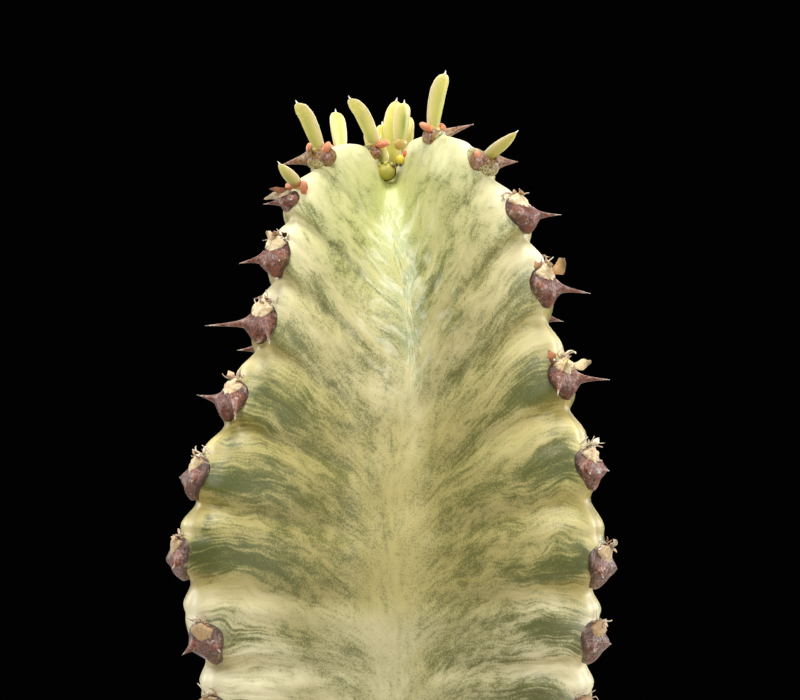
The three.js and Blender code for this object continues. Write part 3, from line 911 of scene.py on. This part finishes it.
def filled(outline, centre, shares):
    """Rings of points from a centre out to an outline, and each point's share of the way out."""
    rings = centre + (outline - centre) * np.array(shares)[:, None, None]
    flat = np.concatenate([[centre], rings.reshape(-1, 2)])
    return flat, np.concatenate([[0], np.repeat(shares, len(outline))])


def in_profile(areole, hand):
    """Whether a front wing's spine is the one that is seen in profile."""
    return hand == (1 if areole.wing == 3 else -1)


def new_forward(areole, hand):
    """Whether a spine is one of the new ones that point forward at the front wings' tips."""
    return areole.wing >= 2 and areole.level < NEW_LEVELS and not in_profile(areole, hand)


def spine_direction(areole, hand):
    """Much as in the CAD model, but the front wings' spines rise and droop as the lists say."""
    spec, level = WINGS[areole.wing], areole.level
    droop, _ = spine_draws.get((areole.wing, level, hand), (0.5, 0.5))
    slant = -0.1 - 0.16 * droop
    if level < len(spec.get("profile", [])):
        slant = spec["profile"][level][1] if in_profile(areole, hand) else -spec["forward"][level]
    spread = math.radians(SPINE_SPREAD)
    flat = areole.out + (areole.radial - areole.out) * 0.4
    flat = unit(flat * math.cos(spread) + areole.side * hand * math.sin(spread))
    return unit([flat[0], flat[1], slant + 0.35 * flat[2]])


def spine_length(areole, hand):
    """A listed length where there is one, the CAD model's with its wear, or that of an old stub."""
    profile = WINGS[areole.wing].get("profile", [])
    if areole.level >= SPINY_AREOLES:
        return 1.1 + 0.5 * abs(math.sin(7 * areole.level + hand))
    if areole.level < len(profile) and in_profile(areole, hand):
        return profile[areole.level][0]
    if new_forward(areole, hand):
        return NEW_LENGTH
    _, draw = spine_draws[areole.wing, areole.level, hand]
    wear = 1 - SPINE_WEAR["share"] * areole.age(SPINE_WEAR["from"], SPINE_WEAR["to"])
    behind = BACK_SHARE if areole.wing < 2 else 1
    return SPINE_LENGTH * (0.85 + 0.25 * draw) * areole.size**0.7 * wear * behind


def youth(areole):
    """1 at the crown, where the areoles are still soft, to 0 where they are corky."""
    return 1 - areole.age(24, 39)


def add_shield(heap, areole, dice):
    size, young = areole.size, youth(areole)
    flat, share = filled(OUTLINE, np.zeros(2), np.linspace(0, 1, SHIELD_RINGS + 1)[1:] ** 0.85)
    side, up = flat[:, 0] * size, flat[:, 1] * size + 0.05
    fresh = smooth(young, 0.45, 0.95)
    dome = SHIELD_DOME * (1 - share**2.4) + SHIELD_EDGE
    keel = 0.4 * hump(side, 0, 0.7 * size) * smooth(-up / size, 0.2, 2.2)
    dip = 0.5 * hump(side, 0, size) * smooth(up / size, 0.6, 2)
    wrinkle = 0.1 * noise_at(side * 1.3 + 9 * areole.level, up * 1.1, areole.wing * 7.0)
    rim = 1 - smooth(share, 0.9, 1)
    swollen = (dome + keel - dip + wrinkle) * rim * (1 - 0.45 * fresh)
    height = size * (swollen - SHIELD_SINK * (1 - rim))
    points = areole.above(side, up, height)
    tint = blend(UMBER, RUSSET, np.clip(0.25 + 0.6 * young - up / 9, 0, 1))
    tint = blend(tint, blend(SAGE, TOP_CREAM, smooth(share, 0.3, 0.9)), fresh * 0.85)
    for hand in (1, -1):
        away = np.hypot(side - hand * HORN_PLACE["side"] * size, up - HORN_PLACE["up"] * size)
        mound = hump(away, 0, MOUND_REACH * size) * rim * (NEW_MOUND if new_forward(areole, hand) else 1)
        points = points + (spine_direction(areole, hand) * MOUND_HEIGHT * size) * mound[:, None]
        tint = blend(tint, MAUVE, mound * (0.75 - 0.6 * young))
    tint = blend(tint, SOOT, hump(share, 0.9, 0.06) * 0.85 * (1 - fresh))
    tint = blend(tint, ASH, areole.age(60, 150) * 0.45) * (0.85 + 0.3 * dice())
    add_cap(heap, points, areole.above(0, 0, SHIELD_FLOOR * size), tint, SHIELD_RINGS, SHIELD_SIDES)


def add_cap(heap, points, floor, tint, rings, sides):
    """A cap whose centre and rings are given, closed below at a floor point."""
    tints = np.concatenate([tint, [SOOT]])
    heap.add(np.concatenate([points, [floor]]), ring_faces(rings, sides), tints)


def add_spine(heap, areole, hand, dice):
    size, young = areole.size, youth(areole)
    length, direction = spine_length(areole, hand), spine_direction(areole, hand)
    lift = SPINE_LIFT.get((areole.wing, areole.level, hand), 0)
    root = areole.above(hand * HORN_PLACE["side"] * size, HORN_PLACE["up"] * size, size + lift)
    along = np.concatenate([[-0.6, 0, 0.35, 0.7, 1.1], np.linspace(1.6, length, 12)])
    along = along if length > 2 else np.linspace(-0.6, length, 9)
    share = np.clip(along / length, 0, 1)
    slender = (0.6 + 0.5 * young) * size**0.5 * (1 - share) ** 0.85
    foot = 0.95 * size * np.exp(-np.maximum(along, 0) / 1.3) * (1 - share)
    radius = np.maximum(slender + foot, 0.05)
    sag = UP * dice(-0.5, 0.35)
    path = root + direction * along[:, None] + sag * (share**2)[:, None] * length * 0.12
    points, faces = sweep(path, np.cross(direction, UP), radius, radius, SPINE_SIDES)
    tint = blend(blend(MAUVE, CHESTNUT, smooth(share, 0.05, 0.5)), BONE, smooth(share, 0.6, 1))
    tint = blend(tint, blend(SAGE, ROSE, smooth(share, 0.2, 0.8)), young * 0.8)
    heap.add(points, faces, along_sweep(tint, SPINE_SIDES))


def add_scar(heap, areole):
    """The pale corky scar of a fallen leaf, pointing down between the two horns."""
    size = areole.size
    corners = len(SCAR_OUTLINE)
    outline = between(np.linspace(0, corners - 1, SCAR_SIDES, endpoint=False), range(corners), SCAR_OUTLINE)
    flat, share = filled(outline, SCAR_CENTRE, SCAR_SHARES)
    side, up = flat.T * size
    bumps = noise_at(side * 2, up * 2, areole.level + 5.0 * areole.wing)
    height = size * (1.45 + 0.3 * bumps - 0.9 * smooth(share, 0.9, 1) - 0.12 * share**2)
    fresh = 1 - areole.age(70, 150)
    tint = blend(TAN, IVORY, np.clip(0.5 + bumps * 1.5, 0, 1) * fresh)
    tint = blend(tint, SCAR_EDGE, np.clip(smooth(share, 0.86, 1) * 0.8 + (1 - fresh) * 0.5, 0, 1))
    floor = areole.above(*(SCAR_CENTRE * size), -0.5)
    add_cap(heap, areole.above(side, up, height), floor, tint, len(SCAR_SHARES), SCAR_SIDES)


def curl(start, heading, bend_axis, bend, length, steps):
    """A path that leaves start along heading and turns about an axis as it goes."""
    points, direction = [np.asarray(start, float)], unit(heading)
    for i in range(steps - 1):
        direction = turned_about(direction, bend_axis, bend / steps * (1 + 0.7 * math.sin(3.1 * i)))
        points.append(points[-1] + direction * length / steps)
    return np.array(points)


def add_filaments(heap, areole, dice, count):
    """Dried threads that curl up from the top of the shield."""
    for _ in range(count):
        side, up = dice(-1.9, 1.9) * areole.size, dice(2.8, 4.3) * areole.size
        heading = areole.out * dice(0.3, 1.1) + UP * dice(-0.3, 0.9) + areole.side * dice(-0.9, 0.9)
        axis = unit([dice(-1, 1), dice(-1, 1), dice(-1, 1)])
        length = dice(1.0, 3.0)
        path = curl(areole.above(side, up, 0.5), heading, axis, dice(-5, 5), length, 12)
        thick = dice(0.09, 0.2) * np.linspace(1, 0.45, 12)
        points, faces = sweep(path, axis, thick * 1.4, thick, 6)
        heap.add(points, faces, blend(srgb(150, 96, 62), srgb(250, 238, 214), dice(0.2, 1.0)))


def add_flake(heap, start, heading, across, length, width, bend, tint):
    """A thin papery husk, cupped along its length."""
    steps, sides = 16, 14
    path = curl(start, heading, unit(across), bend, length, steps)
    t = np.linspace(0, 1, steps)
    widths = width / 2 * (0.35 + 0.75 * np.sin(np.pi * t**0.8)) * (1 + 0.18 * np.sin(11 * t + width))
    widths[-1] *= 0.3
    points, faces = sweep(path, across, widths, 0.11 * (1 - 0.5 * t), sides, hollow=2.4)
    shade = along_sweep(0.8 + 0.35 * np.sin(7 * t + length)[:, None], sides)
    heap.add(points, faces, np.clip(np.asarray(tint) * shade, 0, 1))


def add_husks(heap, areole, dice):
    """What is left of a fallen leaf: threads, and one or two small papery flakes."""
    age = areole.age(60, 170)
    add_filaments(heap, areole, dice, round(13 - 9 * age))
    for _ in range(2 if age < 0.5 else 1):
        start = areole.above(dice(-1.6, 1.6), dice(2.6, 3.6), 0.5)
        heading = areole.out * dice(0.4, 1) + UP * dice(0, 0.8)
        tint = blend(srgb(176, 118, 70), IVORY, dice())
        add_flake(heap, start, heading, areole.side, dice(1.2, 2.4), dice(0.7, 1.5), dice(-2, 2), tint)


shields, spines, scars, husks = Heap(), Heap(), Heap(), Heap()
growth_dice = Dice(90210)
for wing in range(4):
    for areole in areoles[wing]:
        add_shield(shields, areole, growth_dice)
        for hand in (1, -1):
            add_spine(spines, areole, hand, growth_dice)
        if areole.level >= len(WINGS[wing]["leaves"]):
            add_scar(scars, areole)
            add_husks(husks, areole, growth_dice)

# Leaves and the growing tip

LEAF_WIDTH = 4.4
LEAF_THICKNESS = 1.5
BUTTER = srgb(234, 224, 120)
STRAW = srgb(188, 172, 48)
MOSS = srgb(140, 158, 62)
CORAL = srgb(196, 104, 62)
AMBER = srgb(228, 160, 120)

# Shares of a leaf's width for a blunt and for a drawn-out end, and shares of its thickness, each as
# [places along the leaf, shares]
BLUNT_WIDTHS = [
    [-0.08, 0, 0.2, 0.45, 0.7, 0.84, 0.92, 0.97, 1],
    [0.62, 0.7, 0.86, 0.98, 1, 0.92, 0.74, 0.48, 0.08],
]
DRAWN_WIDTHS = [[-0.08, 0, 0.2, 0.4, 0.6, 0.8, 0.92, 1], [0.6, 0.66, 0.9, 1, 0.86, 0.52, 0.24, 0.04]]
THICKNESSES = [[-0.08, 0, 0.3, 0.7, 0.92, 1], [0.9, 1, 1, 0.8, 0.45, 0.1]]


def add_leaf(heap, root, direction, across, length, width=LEAF_WIDTH, thickness=LEAF_THICKNESS,
             bend=0.0, blush=0.0, deep=0.0, stripe=0.5, lop=0.0, point=0.0):
    """A thick boat-shaped leaf. Its blunt end is cut askew by lop, with a small white point at the
    far corner, or drawn out where point is 1."""
    steps, sides = 26, 20
    t = -0.08 + 1.08 * np.linspace(0, 1, steps) ** 0.8
    direction, across = unit(direction), unit(across)
    through = np.cross(direction, across)
    path = root + direction * (t * length)[:, None] + through * (bend * length * (t - 0.1) ** 2)[:, None]
    path = path + across * (lop * width * smooth(t, 0.6, 1))[:, None]
    outline = blend(np.interp(t, *BLUNT_WIDTHS), np.interp(t, *DRAWN_WIDTHS), point)
    depths = thickness / 2 * np.interp(t, *THICKNESSES)
    points, faces = sweep(path, across, width / 2 * outline, depths, sides, hollow=0.55)
    sideways = np.abs(np.cos(full_turn(sides)))
    margin = np.concatenate([[0], np.tile(sideways, steps), [1]]) ** 5
    rib = np.concatenate([[0], np.tile(hump(sideways, 0, 0.42), steps), [0]])
    t = along_sweep(t[:, None], sides)[:, 0]
    tint = blend(BUTTER, STRAW, np.clip(deep * (1 - t * 0.4), 0, 1))
    green = rib * stripe * hump(t, 0.45, 0.35) + 0.3 * (1 - smooth(t, 0, 0.4))
    tint = blend(tint, MOSS, np.clip(green, 0, 1))
    tint = blend(tint, IVORY, np.maximum(margin**0.7 * 0.85, 0.5 * smooth(t, 0.88, 1)))
    tint = blend(tint, CORAL, blush * (1 - smooth(t, 0.05, 0.32)))
    heap.add(points, faces, tint)
    small = np.linspace(0, 1, 7)
    tip = path[-1] - direction * 0.15 + unit(direction + across * lop * 1.5) * (small * 0.8)[:, None]
    points, faces = sweep(tip, through, 0.22 - 0.18 * small, 0.22 - 0.18 * small, 8)
    heap.add(points, faces, srgb(248, 240, 222))


def add_knob(heap, centre, axes, tint, tip=None):
    """A rounded knob given by three half axes, the last one pointing along it."""
    rings, sides = 11, 16
    polar = np.linspace(0, math.pi, rings + 2)[1:-1]
    turn = full_turn(sides)[None, :, None]
    a, b, c = [np.asarray(axis, float) for axis in axes]
    body = (np.cos(turn) * a + np.sin(turn) * b) * np.sin(polar)[:, None, None]
    body = body + c * np.cos(polar)[:, None, None]
    points = np.concatenate([[c], body.reshape(-1, 3), [-c]]) + centre
    share = np.concatenate([[1], np.repeat(np.cos(polar) * 0.5 + 0.5, sides), [0]])
    heap.add(points, ring_faces(rings, sides), blend(tint, tint if tip is None else tip, share))


LEAF_LOOKS = {
    (2, 0): {"bend": -0.04, "lop": -0.2}, (2, 1): {"bend": 0.02, "lop": -0.2, "deep": 0.3},
    (2, 2): {"blush": 0.9, "deep": 0.4, "point": 0.7}, (3, 0): {"stripe": 1.0},
    (3, 1): {"bend": -0.12, "lop": 0.1, "deep": 0.25}, (3, 2): {"deep": 1.0, "bend": 0.05, "point": 0.85},
    (1, 0): {"stripe": 0.4}, (1, 1): {"stripe": 0.4},
}
# The stipules at a leaf's base: both of them, but one at wing 2's youngest leaf and none at the others'
YOUNGEST_STIPULES = {2: (1,)}
RIGHT = np.array([1.0, 0.0, 0.0])
TOWARDS = np.array([0.0, -1.0, 0.0])
leaves = Heap()
for wing in range(4):
    for level, (lean, length, up, out) in enumerate(WINGS[wing]["leaves"]):
        areole = areoles[wing][level]
        angle = math.radians(lean)
        direction = areole.radial * math.sin(angle) + UP * math.cos(angle)
        root = areole.point + areole.up * up + areole.out * out
        add_leaf(leaves, root, direction, areole.side, length, **LEAF_LOOKS.get((wing, level), {}))
        stipule = unit(areole.up + areole.out * 0.9)
        for hand in (1, -1) if level else YOUNGEST_STIPULES.get(wing, ()):
            place = root + areole.side * hand * 2.2 + areole.out * 0.3 - direction * 0.6
            out_there = unit(stipule + areole.side * hand * 0.3)
            axes = (areole.side * 0.85, np.cross(out_there, areole.side) * 0.75, out_there * 1.4)
            add_knob(leaves, place, axes, CORAL, AMBER)
        base = (areole.side * 1.7, areole.radial * 0.9, direction * 1.2)
        add_knob(leaves, root - direction * 0.9, base, srgb(200, 172, 92))


def at_tip(right, towards, depth):
    """A place near the growing tip."""
    return np.array([right, -towards, WING_TOP - depth])


add_leaf(leaves, at_tip(0.3, -0.6, 6.4), UP - 0.02 * RIGHT, RIGHT, 14.4, 3.7, 1.5, bend=0.02, lop=0.22)
add_leaf(leaves, at_tip(-1.8, 2.9, 5.6), UP - 0.06 * RIGHT, RIGHT, 6.2, 2.9, 1.2, deep=0.5, point=1,
         stripe=0.8)
add_leaf(leaves, at_tip(-3.4, -0.8, 5.5), UP - 0.1 * RIGHT, RIGHT, 8.0, 2.4, 1.2, lop=-0.2)
BUD = at_tip(-1.1, 3.9, 5.9)
# A dark knob just behind the bud and a little larger than it: painted shade round the bud
add_knob(leaves, BUD - 0.4 * TOWARDS, (RIGHT * 2.0, TOWARDS * 1.1, UP * 1.85), srgb(74, 54, 22))
add_knob(leaves, BUD, (RIGHT * 1.8, TOWARDS * 1.3, UP * 1.65), srgb(150, 146, 36), srgb(186, 176, 84))

# Small knobs round the bud, as right, towards, depth, size and colour
for right, towards, depth, size, tint in (
    (1.6, 3.6, 3.7, 0.95, srgb(212, 190, 60)), (2.9, 3.3, 2.6, 0.85, srgb(204, 110, 62)),
    (-4.0, 3.4, 2.5, 1.0, srgb(222, 138, 62)), (-4.1, 3.4, 3.9, 0.6, srgb(128, 134, 44)),
    (-3.4, 4.0, 4.6, 0.4, srgb(196, 150, 120)), (-2.4, 4.4, 4.6, 0.35, srgb(190, 176, 104)),
    (-1.2, 4.7, 4.4, 0.4, srgb(184, 184, 84)), (0.0, 4.6, 4.5, 0.35, srgb(176, 164, 84)),
    (1.0, 4.3, 4.6, 0.32, srgb(70, 60, 30)), (1.7, 4.1, 4.7, 0.3, srgb(60, 50, 30)),
    (0.4, 4.6, 4.9, 0.28, srgb(90, 60, 40)),
):
    axes = (RIGHT * size, TOWARDS * size * 0.8, UP * size * 1.1)
    add_knob(leaves, at_tip(right, towards, depth), axes, tint)

# Larger dried husks that stand out from single shields, as wing, level, side, up, heading right,
# towards and up, length, width, bend and colour
for wing, level, side, up, heading, length, width, bend, tint in (
    (3, 4, 1.4, 2.6, (0.9, 0.3, 0.35), 5.6, 2.6, 1.3, (206, 168, 120)),
    (3, 4, 0.2, 2.9, (0.5, 0.5, 0.7), 4.2, 1.5, 1.6, (236, 210, 168)),
    (3, 4, -1.2, 2.4, (-0.2, 0.6, 0.7), 2.6, 1.2, -1.4, (180, 130, 84)),
    (3, 5, 1.2, 2.0, (0.9, 0.2, 0.1), 4.8, 1.8, 0.7, (238, 216, 172)),
    (3, 5, -0.2, 2.2, (0.3, 0.9, 0.2), 2.8, 2.6, 0.8, (250, 224, 150)),
    (3, 5, -1.7, 2.8, (-0.3, 0.5, 0.9), 3.2, 1.4, -1.2, (176, 112, 72)),
    (2, 2, 0.6, 2.6, (-0.9, 0.1, -0.2), 5.6, 1.3, -0.4, (220, 196, 156)),
    (2, 2, 0.2, 3.2, (-0.9, 0.3, -0.1), 4.6, 1.1, 0.5, (150, 92, 60)),
    (2, 3, 0.4, 3.0, (-0.8, 0.3, 0.2), 3.6, 1.5, 0.9, (232, 206, 168)),
    (2, 3, 1.2, 3.4, (0.1, 0.4, 0.9), 2.2, 1.0, 1.5, (70, 44, 34)),
    (2, 5, 0.0, 3.0, (-0.3, 0.4, 0.8), 3.0, 1.2, -1.6, (226, 190, 150)),
    (2, 6, 0.4, 3.0, (-0.2, 0.5, 0.8), 3.4, 1.1, 1.8, (238, 214, 180)),
    (3, 3, 0.4, 3.0, (0.5, 0.4, 0.7), 2.8, 1.2, 1.4, (232, 200, 160)),
    (3, 6, 0.4, 3.2, (0.4, 0.4, 0.8), 3.0, 1.1, -1.5, (240, 222, 190)),
    (3, 7, 1.0, 3.0, (0.8, 0.2, 0.6), 3.4, 0.9, 1.3, (244, 232, 206)),
):
    areole = areoles[wing][level]
    heading = unit(RIGHT * heading[0] + TOWARDS * heading[1] + UP * heading[2])
    start = areole.above(side * areole.size, up * areole.size, 0.8)
    across = np.cross(heading, TOWARDS + 0.4 * UP)
    add_flake(husks, start, heading, across, length, width, bend, srgb(*tint))

shields.build("spine_shields", HORN, "spine_shields")
spines.build("spines", HORN, "spine_shields")
scars.build("leaf_scars", PAPER, "spine_shields")
husks.build("dried_husks", PAPER, "spine_shields")
leaves.build("young_leaves", LEAF, "leaves")

# The pot

POT_AROUND = 192
INNER_RIM = POT_RIM_RADIUS - RIM_BAND_STEP - POT_WALL


def wall_radius(height):
    return POT_FOOT_RADIUS + (POT_RIM_RADIUS - RIM_BAND_STEP - POT_FOOT_RADIUS) * height / POT_HEIGHT


def eased(profile, cut):
    """Rounds the corners of a closed profile by cutting them twice."""
    points = [np.array(point, float) for point in profile]
    for reach in (cut, cut / 3):
        rounded = []
        for i, here in enumerate(points):
            for other in (points[i - 1], points[(i + 1) % len(points)]):
                gap = np.linalg.norm(other - here)
                rounded.append(here + (other - here) * min(0.3, reach / gap))
        points = rounded
    return points


def dense(points, step):
    """A closed profile with further points where it is long and straight."""
    out = []
    for i, here in enumerate(points):
        following = points[(i + 1) % len(points)]
        parts = max(1, int(np.linalg.norm(following - here) / step))
        out += [here + (following - here) * k / parts for k in range(parts)]
    return np.array(out)


def build_pot():
    band = POT_HEIGHT - RIM_BAND_HEIGHT
    inner_foot = wall_radius(POT_FLOOR) - POT_WALL
    profile = [
        [DRAIN_RADIUS, 0], [POT_FOOT_RADIUS - 2, 0], [POT_FOOT_RADIUS, 2], [wall_radius(band), band],
        [POT_RIM_RADIUS - 2.4, band + 1], [POT_RIM_RADIUS - 1.2, band + 3],
        [POT_RIM_RADIUS, POT_HEIGHT - 3], [POT_RIM_RADIUS - 1, POT_HEIGHT - 0.8],
        [POT_RIM_RADIUS - 3, POT_HEIGHT], [INNER_RIM + 3, POT_HEIGHT], [INNER_RIM, POT_HEIGHT - 2],
        [inner_foot, POT_FLOOR + 3], [inner_foot - 3, POT_FLOOR], [DRAIN_RADIUS, POT_FLOOR],
    ]
    radius, height = dense(eased(profile, 1.0), 2.2).T[:, :, None]
    azimuth = full_turn(POT_AROUND)
    outside = smooth(radius - (wall_radius(height) - POT_WALL / 2), 0, 2) * smooth(height, 1, 6)
    throwing = 0.09 * np.sin(height * 1.9 + 0.3 * np.sin(azimuth * 2 + 1))
    throwing = throwing + 0.05 * np.sin(height * 0.73 + azimuth)
    points = round_axis(azimuth, radius + outside * (throwing - 0.12), height)
    here = np.arange(points[..., 0].size).reshape(-1, POT_AROUND)
    beside, following = np.roll(here, -1, axis=1), np.roll(here, -1, axis=0)
    faces = np.stack([here, beside, np.roll(following, -1, axis=1), following], axis=-1)
    pot = mesh_piece("fine_pot", points.reshape(-1, 3), faces.reshape(-1, 4).tolist(), CLAY, "clay")
    outward(pot.data)
    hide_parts("pot")


def inner_radius(height):
    share = (height - POT_FLOOR - 3) / (POT_HEIGHT - 2 - POT_FLOOR - 3)
    low = wall_radius(POT_FLOOR) - POT_WALL
    return low + (INNER_RIM - low) * share


# The soil

SOCKET_FLOOR = SOIL_LEVEL - 20
SOIL_RINGS = 62


def soil_relief(x, y):
    swell = np.sin(x * 0.11 + 1.3) * np.cos(y * 0.13 - 0.4)
    lumps = np.sin(x * 0.37 + y * 0.21) * np.sin(y * 0.41 - x * 0.17 + 2)
    return 0.9 * swell + 0.7 * lumps


def crumbs(x, y):
    """Fine lumps of the soil's top."""
    places = zip(x.ravel() * 0.28, y.ravel() * 0.28)
    value = [noise.fractal(Vector((a, b, 3.0)), 0.6, 2.2, 5) for a, b in places]
    return 0.9 * np.array(value).reshape(x.shape)


def stem_outline(height):
    """The stem's outline at a height."""
    upward = np.moveaxis(stem_loop[::-1], 1, 0)
    return np.array([between(height, line[:, 2], line[:, :2]) for line in upward])


def build_soil():
    """The soil round the stem: its top, its side along the pot, and the socket that the stem fills."""
    outline, lower = stem_outline(SOIL_LEVEL), stem_outline(SOCKET_FLOOR)
    around = len(outline)
    azimuth = np.arctan2(outline[:, 1], outline[:, 0])
    wall = round_axis(azimuth, inner_radius(SOIL_LEVEL) - GAP, 0)[:, :2]
    grown = outline + unit(outline) * GAP
    shares = np.linspace(0, 1, SOIL_RINGS)[:, None]
    x, y = np.moveaxis(grown + (wall - grown) * shares[:, :, None], -1, 0)
    z = SOIL_LEVEL + soil_relief(x, y) + crumbs(x, y) * np.minimum(1, 6 * (1 - shares))
    z = z + 0.8 * np.exp(-shares * 14)
    rings = [np.column_stack([lower + unit(lower) * GAP, np.full(around, SOCKET_FLOOR)])]
    rings += list(np.stack([x, y, z], axis=-1))
    for height in (SOIL_LEVEL - 2, 80, 40, POT_FLOOR + 3 + GAP):
        rings.append(round_axis(azimuth, inner_radius(height) - GAP, height))
    rings.append(round_axis(azimuth, inner_radius(POT_FLOOR + 3) - 3 - GAP, POT_FLOOR + GAP))
    points = np.concatenate([[[0, 0, SOCKET_FLOOR]], *rings, [[0, 0, POT_FLOOR + GAP]]])
    soil = mesh_piece("fine_soil", points, ring_faces(len(rings), around), SOIL, "soil")
    outward(soil.data)
    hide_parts("soil")


def stone_shape():
    """Vertices and faces of a round body of triangles."""
    work = bmesh.new()
    bmesh.ops.create_icosphere(work, subdivisions=2, radius=1)
    points = np.array([vertex.co[:] for vertex in work.verts])
    faces = [tuple(vertex.index for vertex in face.verts) for face in work.faces]
    work.free()
    return points, faces


STONE_POINTS, STONE_FACES = stone_shape()
SMALL_STONES = 620
SCATTER_RADIUS = 72
PEBBLE_RING = {"inner": 34, "width": 32}


def add_stone(heap, angle, radius, size, flatness, turn, dice):
    x, y = radius * math.cos(angle), radius * math.sin(angle)
    rough = noise_at(*(STONE_POINTS * 1.4 + x).T)
    body = STONE_POINTS * (1 + 0.35 * rough)[:, None] * [1, 0.7 + 0.3 * flatness, 0.65] * size
    cos, sin = math.cos(turn), math.sin(turn)
    body = body @ np.array([[cos, sin, 0], [-sin, cos, 0], [0, 0, 1]])
    z = SOIL_LEVEL + soil_relief(x, y) + 0.15 * size + 0.3
    grey = blend(srgb(188, 176, 154), srgb(132, 112, 92), dice())
    heap.add(body + [x, y, z], STONE_FACES, blend(grey, srgb(150, 96, 74), 0.5 * (dice() > 0.8)))


def build_stones():
    """The CAD model's pebbles, and small stones scattered between the stem and the pot."""
    heap, dice = Heap(), Dice(3301)
    for angle, radius, size, flatness, turn in pebble_draws:
        radius = PEBBLE_RING["inner"] + PEBBLE_RING["width"] * math.sqrt(radius)
        add_stone(heap, 2 * math.pi * angle, radius, 2.2 + 2.2 * size, flatness, 2 * math.pi * turn, dice)
    outline = stem_loop[np.abs(stem_levels - LAST_LEVEL).argmin(), :, :2]
    azimuths = np.arctan2(outline[:, 1], outline[:, 0])
    stem_reach = np.linalg.norm(outline, axis=1)
    made = 0
    while made < SMALL_STONES:
        angle = dice(-math.pi, math.pi)
        radius, size = SCATTER_RADIUS * math.sqrt(dice()), 0.6 + 1.5 * dice() ** 3
        reach = np.interp(angle, azimuths, stem_reach, period=2 * math.pi)
        if reach + size + 0.4 <= radius <= inner_radius(SOIL_LEVEL) - size - 1:
            add_stone(heap, angle, radius, size, dice(), dice(0, 6.3), dice)
            made += 1
    heap.build("grit", STONE, "pumice")


build_pot()
build_soil()
build_stones()

# Floor, light and camera

FLOOR_RADIUS = 1200
FLOOR_DEPTH = 0.2
LIGHTS_AIM = Vector((0, 0, 0.27))
BACKDROP = (0.0006, 0.0006, 0.0006, 1)
# The camera looks at a place at the middle of the photograph, in the plane of the front wings
TARGET = Vector((1.6, -38, 308.4)) * MM
CAMERA_DISTANCE = 0.5
CAMERA_ELEVATION = math.radians(1)
FOCAL_LENGTH = 125


def build_floor():
    floor = Finish("floor")
    cloud = floor.noise(floor.position(), 0.004, 2)
    floor.surface(floor.mix(srgb(214, 211, 205), srgb(206, 203, 197), cloud), 0.75)
    rim = round_axis(full_turn(128), FLOOR_RADIUS, -FLOOR_DEPTH)
    mesh_piece("floor", rim, [tuple(range(len(rim)))], floor.material)


def soft_light(name, place, size, power, colour=(1, 1, 1)):
    light = bpy.data.lights.new(name, "AREA")
    light.shape, light.size, light.energy, light.color = "DISK", size, power, colour
    lamp = placed(name, light)
    lamp.location = place
    lamp.rotation_euler = (LIGHTS_AIM - Vector(place)).to_track_quat("-Z", "Y").to_euler()


build_floor()
soft_light("key", (-0.35, -0.85, 1.0), 0.4, 7.2, (1, 0.985, 0.95))
soft_light("fill", (0.75, -0.85, 0.5), 0.7, 4.2, (1, 0.99, 0.97))
soft_light("left_rim", (-0.75, 0.3, 0.55), 0.35, 4.4)
soft_light("right_rim", (0.78, 0.3, 0.5), 0.35, 6)
soft_light("top", (0.05, -0.15, 1.2), 0.4, 9)
soft_light("back", (0.1, 1.2, 0.7), 0.9, 7)

world = bpy.data.worlds.new("studio")
world.use_nodes = True
world.node_tree.nodes["Background"].inputs["Color"].default_value = BACKDROP
bpy.context.scene.world = world
bpy.context.scene.view_settings.view_transform = "Standard"

camera = placed("camera", bpy.data.cameras.new("camera"))
camera.data.sensor_width = 36
camera.data.lens = FOCAL_LENGTH
camera.data.clip_start = 0.01
back = Vector((0, -math.cos(CAMERA_ELEVATION), math.sin(CAMERA_ELEVATION)))
camera.location = TARGET + back * CAMERA_DISTANCE
camera.rotation_euler = (-back).to_track_quat("-Z", "Y").to_euler()
bpy.context.scene.camera = camera
